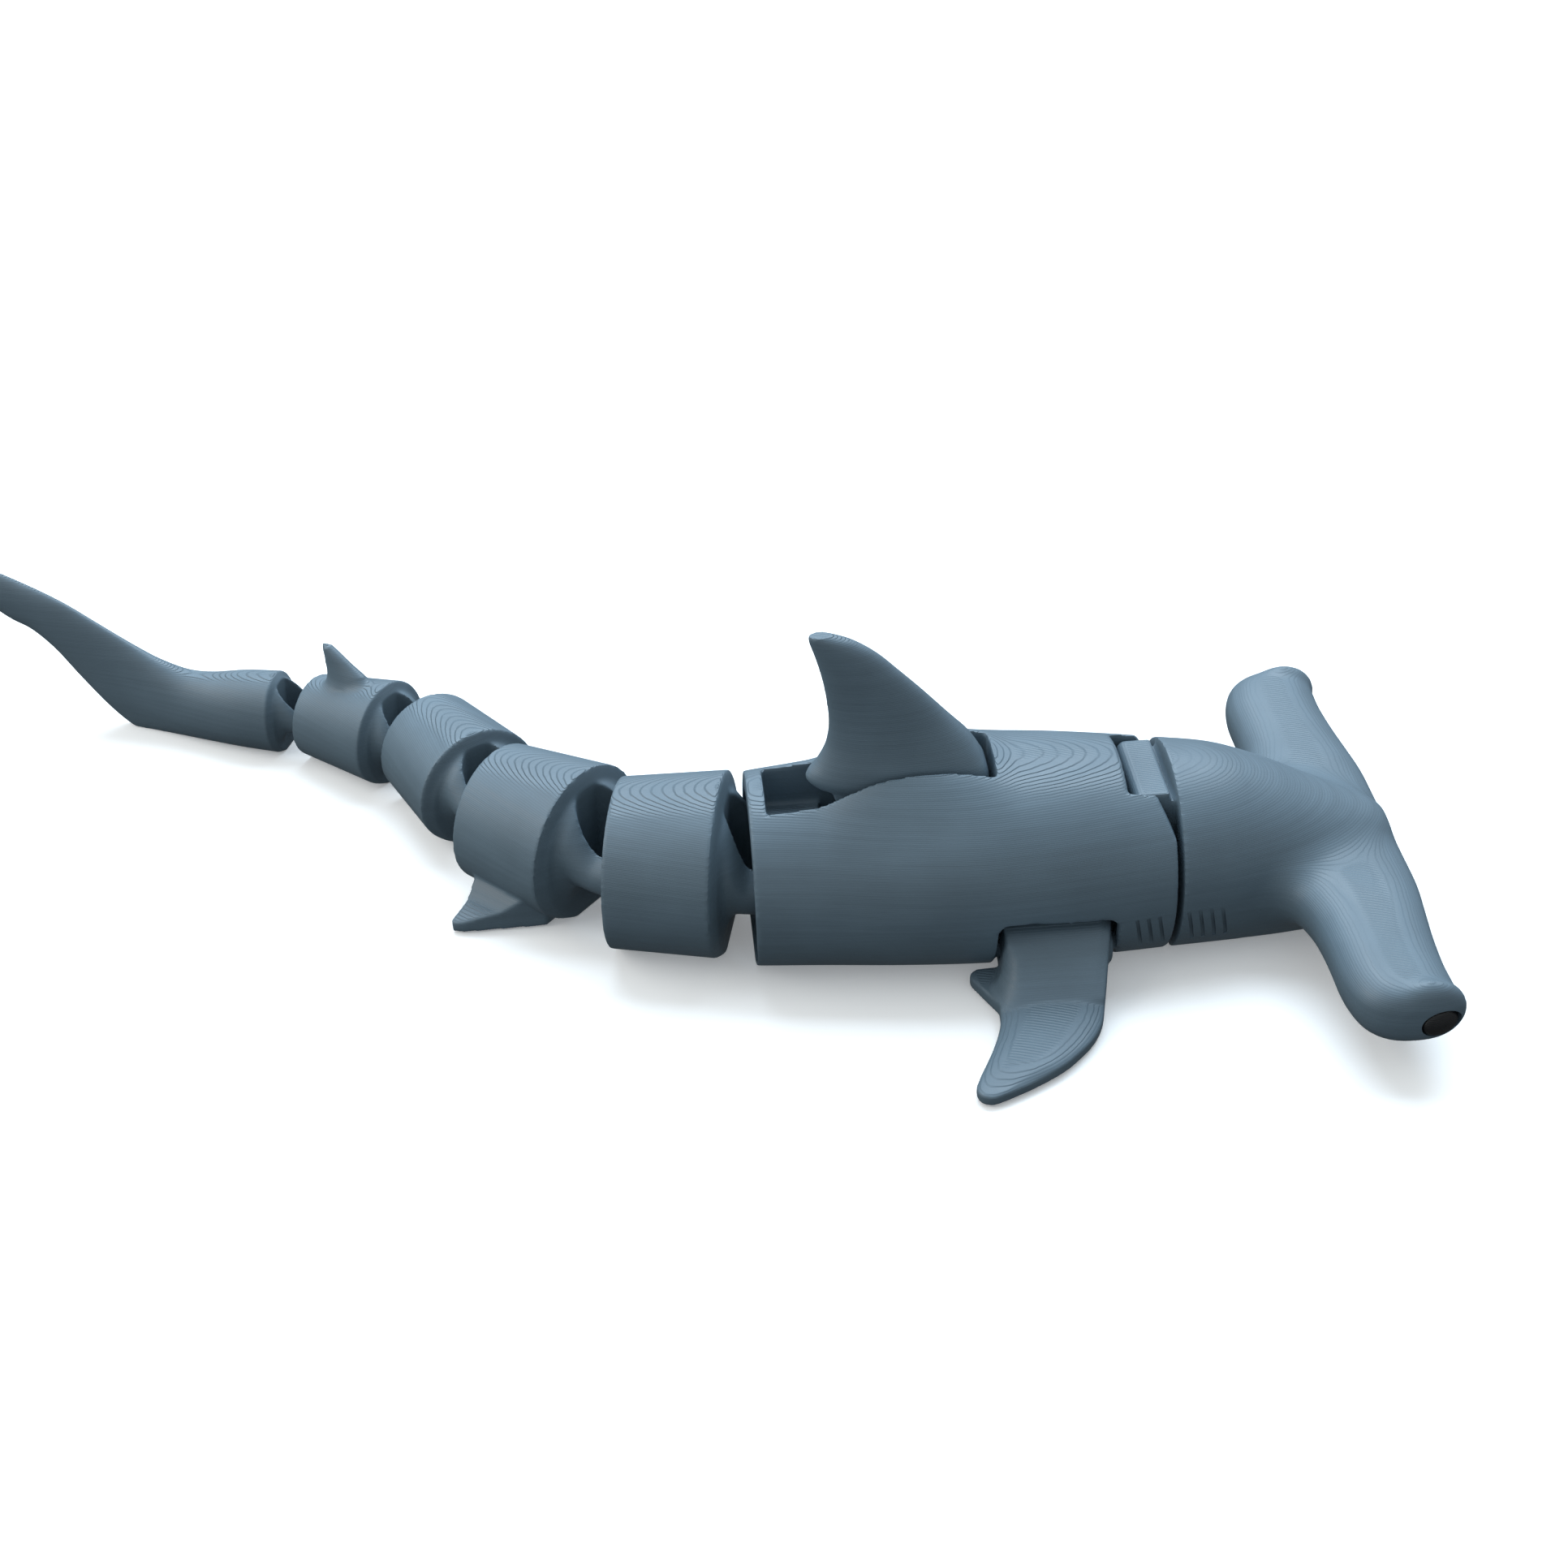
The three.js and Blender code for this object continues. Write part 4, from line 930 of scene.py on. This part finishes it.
def fin_skin(rows, heights, around=72):
    """A fin with a sloping side outline: rows give height, rear edge, front edge, thickness and squareness."""

    def place(share, z):
        rear, front, thick, square = (smooth_between(rows, z, c) for c in (1, 2, 3, 4))
        turn = 2 * math.pi * share
        c, w = math.cos(turn), math.sin(turn)
        power = 2 / square if c > 0 else 1.0
        x = (rear + front) / 2 + (front - rear) / 2 * squared(c, power)
        return Vector((x, thick / 2 * squared(w, power), z))

    return rolled(around, heights, place)


def back_fin_piece():
    half = SLOT_HALF_WIDTH - FIN_SIDE_GAP
    lowest = BACK_FIN_ROWS[0]
    plan = fin_skin(((10.0, *lowest[1:]), (lowest[0] + 1, *lowest[1:])), (10.0, lowest[0] + 1))
    foot = worked(slab(FIN_FOOT, 2 * half), [("keep", plan)])
    jobs = [
        ("join", foot),
        ("join", rod(FIN_HUB, 2 * half, "y", FIN_PIVOT)),
        ("cut", rod(FIN_PIN + RUNNING_GAP, 40, "y", FIN_PIVOT)),
    ]
    heights = steps(BACK_FIN_ROWS[0][0], BACK_FIN_ROWS[-1][0], 0.5)
    made = worked(fin_skin(BACK_FIN_ROWS, heights), jobs, cell_size() * BACK_FIN_CELLS)
    return finished(made, "back_fin_print", plastic(), "dorsal_fin", ["dorsal_fin"])


def side_fin_outline():
    """Outline of the left side fin in X and Y."""
    points = []
    for curve in SIDE_FIN_CURVES:
        points += [(p.x, p.y) for p in interpolate_bezier(*(Vector((*c, 0)) for c in curve), 14)[:-1]]
    return points + [(0.6, 13.4), (3.6, 13.4), (3.6, 11.4)]


def step_up(value, low, high):
    """0 below a range, 1 above it, smooth between."""
    t = min(1.0, max(0.0, (value - low) / (high - low)))
    return t * t * (3 - 2 * t)


def root_height(y):
    """Height of the thick root at a distance from the middle, down a straight slope to the blade."""
    for (y0, z0), (y1, z1) in zip(SIDE_FIN_ROOT[1:-1], SIDE_FIN_ROOT[2:]):
        if y0 <= y <= y1:
            return z0 + (z1 - z0) * (y - y0) / (y1 - y0)
    return 0.0


def side_fin_cover():
    """Everything under the top of the left side fin: a low dome over the blade and the slope of the root."""

    def place(share, y):
        crown, top = smooth_between(BLADE_ROWS, y, 1), smooth_between(BLADE_ROWS, y, 2)
        rear, front = smooth_between(BLADE_EDGES, y, 1) - 0.4, smooth_between(BLADE_EDGES, y, 2) + 0.4
        if share >= 0.5:
            return Vector((rear + (front - rear) * (share - 0.5) / 0.5, y, 0.0))
        t = share / 0.5
        x = front + (rear - front) * t
        blade = top - crown * abs(2 * t - 1) ** 3
        out = step_up(y, 15.0, 18.0)
        side = step_up(x, 3.45 - 2.2 * out, 3.55 + 1.9 * out) * (1 - 0.12 * step_up(x, front - 2.4, front))
        return Vector((x, y, blade + max(0.0, root_height(y) - blade) * side))

    return rolled(120, steps(9.0, 42.0, 0.5), place)


def side_fin_pieces():
    blade = slab(side_fin_outline(), 12.0, "z", SIDE_LIFT)
    jobs = [
        ("keep", side_fin_cover()),
        ("join", rod(SIDE_BARREL, SOCKET_FRONT - SOCKET_REAR - 1.8, "x", SIDE_PIVOT)),
        ("cut", rod(SIDE_PIN + RUNNING_GAP, 60, "x", SIDE_PIVOT)),
    ]
    left = worked(blade, jobs, cell_size() * SIDE_FIN_CELLS)
    right = mirrored(left)
    for bm, side in ((left, "left"), (right, "right")):
        body = "pectoral_fin_" + side
        finished(bm, "side_fin_print_" + side, plastic(SIDE_FIN_STEP), body, [body])


def neck_skin(row, ahead):
    """Neck from the head rim, at X = -reach, to its loop with the long hole about the pin at X = 0."""
    _, gap, _, play, head_rim, _ = row
    reach = ahead[0] * PIN_INSET_SHARE + gap
    end = ahead[0] * LOOP_END_SHARE
    chamfer = head_rim[0] * CHAMFER_SHARE
    root_half, root_top = head_rim[0] - chamfer, head_rim[1] - chamfer
    loop_top, loop_low = ahead[1] * LOOP_TOP_SHARE, ahead[1] * LOOP_LOW_SHARE
    waist = root_half * FILLET_SHARE
    span = reach + play
    fillet = FILLET_LENGTH / span
    start = loop_low * NECK_ARCH_START
    rings = [(-reach - 2, root_half * 0.98, root_top - start, root_half * 0.98 * 0.7, start)]
    for t in [0.0, 0.15 * fillet, 0.4 * fillet, 0.7 * fillet] + steps(fillet, 1.0, 0.06):
        fall = min(1.0, t * span / reach * NECK_FALL)
        ease = fall * fall * (3 - 2 * fall)
        half = waist + (end - waist) * min(1.0, t * 1.1)
        if t < fillet:
            half += (root_half - half) * (1 - math.sqrt(1 - (1 - t / fillet) ** 2))
        low = loop_low * min(1.0, NECK_ARCH_START + math.sqrt(t * NECK_ARCH_RISE))
        top = root_top + (loop_top - root_top) * ease
        rings.append((-reach + span * t, half, top - low, half * 0.7, low))
    for turn in (12, 22, 33, 44, 54, 64, 73, 82):
        a = math.radians(turn)
        half = max(0.8, end * math.cos(a))
        rings.append((play + end * math.sin(a), half, loop_top - loop_low, half * 0.7, loop_low))
    hole = ahead[0] * LOOP_HOLE_SHARE
    back = -(reach + 0.5) + hole
    low_x, high_x = min(back, play), max(back, play)
    slot = worked(
        rod(hole, 60, "z", (play, 0, 0)),
        [("join", rod(hole, 60, "z", (back, 0, 0))), ("join", block(low_x, high_x, -hole, hole, -30, 30))],
    )
    return worked(sections(rings), [("cut", slot)])


def pelvic_fin(reach):
    """Small fin low on the left side of the second tail piece."""
    rim = -reach
    outline = [(rim - 2.2, 5), (rim - 2.2, 8.4), (rim - 10.8, 16.0)]
    for a, b, c in (
        ((-10.8, 16.0), (-13.0, 17.6), (-13.2, 16.2)),
        ((-13.2, 16.2), (-12.9, 12.4), (-14.6, 8.8)),
    ):
        for t in steps(0.0, 1.0, 0.1)[1:]:
            x, y = ((1 - t) ** 2 * a[i] + 2 * t * (1 - t) * b[i] + t * t * c[i] for i in (0, 1))
            outline.append((rim + x, y))
    outline.append((rim - 14.6, 5))
    cover = slab(((4, 0.3), (18, 0.3), (18, 1.4), (12.5, 3.4), (9, 6.4), (4, 7)), 60, "x", -60)
    return worked(slab(outline, 8, "z", 0.0), [("keep", cover)])


def second_back_fin(reach, top):
    """Small fin on the back of the fourth tail piece."""
    rows = [(top + up, rear - reach, front - reach, *rest) for up, rear, front, *rest in SECOND_FIN_ROWS]
    return fin_skin(rows, steps(rows[0][0], rows[-1][0], 0.3), 48)


def chamfered_start(reach, head_rim, belly_trim):
    """First ring of a tail piece, drawn in by its chamfer."""
    chamfer = head_rim[0] * CHAMFER_SHARE
    return (-reach, head_rim[0] - chamfer, head_rim[1] - chamfer, head_rim[0] * BELLY_SHARE - belly_trim, 0.0)


def shell_skin(row, reach):
    """Shell of a tail piece between its two rims."""
    _, _, length, _, head_rim, tail_rim = row
    rings = [chamfered_start(reach, head_rim, 0.5)]
    for t in steps(0.0, 1.0, 0.08):
        half = head_rim[0] + (tail_rim[0] - head_rim[0]) * t
        high = head_rim[1] + (tail_rim[1] - head_rim[1]) * t
        x = -reach - CHAMFER_LENGTH - (length - CHAMFER_LENGTH) * t
        rings.append((x, half, high, half * BELLY_SHARE, 0.0))
    return sections(rings)


def caudal_skin(row, reach):
    """Last tail piece, from its rim to the tip of the tall lobe of the tail fin."""
    rings = [chamfered_start(reach, row[4], 0.4)]
    for x in steps(0.0, CAUDAL_ROWS[-1][0], 0.8):
        half, low, high = (smooth_between(CAUDAL_ROWS, x, c) for c in (1, 2, 3))
        low = max(0.0, low)
        rings.append((-reach - CHAMFER_LENGTH - x, half, high - low, half * 0.45, low))
    return sections(rings)


def tail_piece(index):
    """One tail piece, in the frame of the pin it turns on, then put at its place at rest."""
    row = TAIL_ROWS[index]
    ahead = REAR_RIM if index == 0 else TAIL_ROWS[index - 1][5]
    reach = ahead[0] * PIN_INSET_SHARE + row[1]
    jobs = [("join", neck_skin(row, ahead))]
    if index == 1:
        jobs += both_sides("join", pelvic_fin(reach))
    if index == 3:
        jobs.append(("join", second_back_fin(reach, row[4][1])))
    last = index == len(TAIL_ROWS) - 1
    if last:
        skin, body = caudal_skin(row, reach), "tail"
    else:
        skin, body = shell_skin(row, reach), "segment_%d" % (index + 1)
        rim, play = row[5], TAIL_ROWS[index + 1][3]
        ceiling, rear = rim[1] - 2.2, -reach - row[2]
        jobs.append(("cut", shifted(rear_pocket(rim, pocket_depth(rim, play), ceiling), rear)))
        jobs.append(("join", hinge_pin(rim, rear + rim[0] * PIN_INSET_SHARE, ceiling)))
    made = worked(skin, jobs, cell_size() * (1.0 - TAIL_CELL_STEP * index))
    if index == 3:
        top, rim_x = row[4][1], -reach
        filleted(made, lambda co: co.z > top - 7 and rim_x - 15 < co.x < rim_x - 1.5, 9, 40)
    pin = next(j["pos_m"] for j in frame["joints"] if j["child"] == body)
    turn = math.radians(sum(r[0] for r in TAIL_ROWS[: index + 1]))
    place = Matrix.Translation(Vector(pin) / MM) @ Matrix.Rotation(turn, 4, "Z")
    return finished(made, body + "_print", plastic(), body, [body], place)


def area_light(name, power, place, target, size, colour):
    """A soft rectangular light at a place, turned to its target."""
    data = bpy.data.lights.new(name, "AREA")
    data.shape = "RECTANGLE"
    data.size, data.size_y = size
    data.energy = power
    data.color = colour
    made = linked(name, data)
    made.location = place
    made.rotation_euler = (Vector(target) - Vector(place)).to_track_quat("-Z", "Y").to_euler()


def photo_camera():
    """Camera at the viewing angle of the photograph."""
    elevation, yaw, roll = (math.radians(a) for a in (CAMERA_ELEVATION, CAMERA_YAW, CAMERA_ROLL))
    right = Vector((math.cos(yaw), -math.sin(yaw), 0))
    level = math.cos(elevation)
    ahead = Vector((math.sin(yaw) * level, math.cos(yaw) * level, -math.sin(elevation)))
    down = ahead.cross(right)
    turned_right = right * math.cos(roll) + down * math.sin(roll)
    turned_down = down * math.cos(roll) - right * math.sin(roll)
    data = bpy.data.cameras.new("photo camera")
    data.lens = CAMERA_LENS
    data.sensor_width = CAMERA_SENSOR
    data.clip_start, data.clip_end = 0.01, 20.0
    made = linked("photo camera", data)
    axes = Matrix((turned_right, -turned_down, -ahead)).transposed()
    made.matrix_world = Matrix.Translation(Vector(CAMERA_PLACE) * MM) @ axes.to_4x4()
    bpy.context.scene.camera = made


class SHARK_OT_torso(bpy.types.Operator):
    """Makes the torso with its fin slot, neck notch, side sockets and rear pocket"""

    bl_idname = "shark.torso"
    bl_label = "Torso"

    def execute(self, context):
        torso_piece()
        return {"FINISHED"}


class SHARK_OT_head(bpy.types.Operator):
    """Makes the head with its hammer and neck tab"""

    bl_idname = "shark.head"
    bl_label = "Head"

    def execute(self, context):
        head_piece()
        return {"FINISHED"}


class SHARK_OT_eyes(bpy.types.Operator):
    """Makes both eyes"""

    bl_idname = "shark.eyes"
    bl_label = "Eyes"

    def execute(self, context):
        eye_pieces()
        return {"FINISHED"}


class SHARK_OT_back_fin(bpy.types.Operator):
    """Makes the back fin with its hub"""

    bl_idname = "shark.back_fin"
    bl_label = "Back Fin"

    def execute(self, context):
        back_fin_piece()
        return {"FINISHED"}


class SHARK_OT_side_fins(bpy.types.Operator):
    """Makes both side fins with their barrels"""

    bl_idname = "shark.side_fins"
    bl_label = "Side Fins"

    def execute(self, context):
        side_fin_pieces()
        return {"FINISHED"}


class SHARK_OT_tail(bpy.types.Operator):
    """Makes the hinged tail pieces and the tail fin"""

    bl_idname = "shark.tail"
    bl_label = "Tail Pieces"

    def execute(self, context):
        for index in range(len(TAIL_ROWS)):
            tail_piece(index)
        return {"FINISHED"}


class SHARK_OT_stage(bpy.types.Operator):
    """Makes the pale floor, the soft lights and the camera"""

    bl_idname = "shark.stage"
    bl_label = "Stage"

    def execute(self, context):
        lights = context.scene.shark_lights
        bm = bmesh.new()
        bmesh.ops.create_grid(bm, x_segments=24, y_segments=24, size=3.0)
        bmesh.ops.translate(bm, vec=(0, 0, -FLOOR_DROP), verts=bm.verts)
        floor = as_object(bm, "pale_floor")
        floor.data.materials.append(floor_paint())
        # the floor shows and takes shadows, and throws no light back up the flanks
        floor.visible_diffuse = floor.visible_glossy = floor.visible_shadow = False
        area_light("window light", lights.window, *WINDOW_LIGHT)
        area_light("fill light", lights.fill, *FILL_LIGHT)
        world = bpy.data.worlds.new("pale room")
        world.use_nodes = True
        tree = world.node_tree
        sky = tree.nodes["Background"]
        sky.inputs["Color"].default_value = ROOM_COLOUR
        way = apart(tree, node(tree, "ShaderNodeTexCoord").outputs["Generated"])
        glow = ranged(tree, way["Z"], HORIZON_LOW, HORIZON_HIGH, lights.under, lights.room)
        tree.links.new(glow, sky.inputs["Strength"])
        context.scene.world = world
        context.scene.view_settings.view_transform = "Standard"
        photo_camera()
        return {"FINISHED"}


class SHARK_PT_panel(bpy.types.Panel):
    """Lists the pieces of the printed shark"""

    bl_idname = "SHARK_PT_panel"
    bl_label = "Printed Shark"
    bl_space_type = "VIEW_3D"
    bl_region_type = "UI"
    bl_category = "Printed Shark"

    def draw(self, context):
        layout = self.layout
        scene = context.scene
        for group in (scene.shark_sizes, scene.shark_colours, scene.shark_lights):
            for name in group.__annotations__:
                layout.prop(group, name)
        for piece in PIECES:
            layout.operator(piece.bl_idname)


PIECES = (
    SHARK_OT_torso,
    SHARK_OT_head,
    SHARK_OT_eyes,
    SHARK_OT_back_fin,
    SHARK_OT_side_fins,
    SHARK_OT_tail,
    SHARK_OT_stage,
)
GROUPS = (PrintSizes, PrintColours, StageLights)


def register():
    for made in GROUPS + PIECES + (SHARK_PT_panel,):
        bpy.utils.register_class(made)
    bpy.types.Scene.shark_sizes = PointerProperty(type=PrintSizes)
    bpy.types.Scene.shark_colours = PointerProperty(type=PrintColours)
    bpy.types.Scene.shark_lights = PointerProperty(type=StageLights)


def unregister():
    for name in ("shark_sizes", "shark_colours", "shark_lights"):
        delattr(bpy.types.Scene, name)
    for made in reversed(GROUPS + PIECES + (SHARK_PT_panel,)):
        bpy.utils.unregister_class(made)


def main():
    for start in [o for o in bpy.context.scene.objects if o.name in ("Cube", "Light", "Camera")]:
        bpy.data.objects.remove(start)
    register()
    bpy.ops.shark.torso()
    bpy.ops.shark.head()
    bpy.ops.shark.eyes()
    bpy.ops.shark.back_fin()
    bpy.ops.shark.side_fins()
    bpy.ops.shark.tail()
    bpy.ops.shark.stage()


if __name__ == "__main__":
    main()
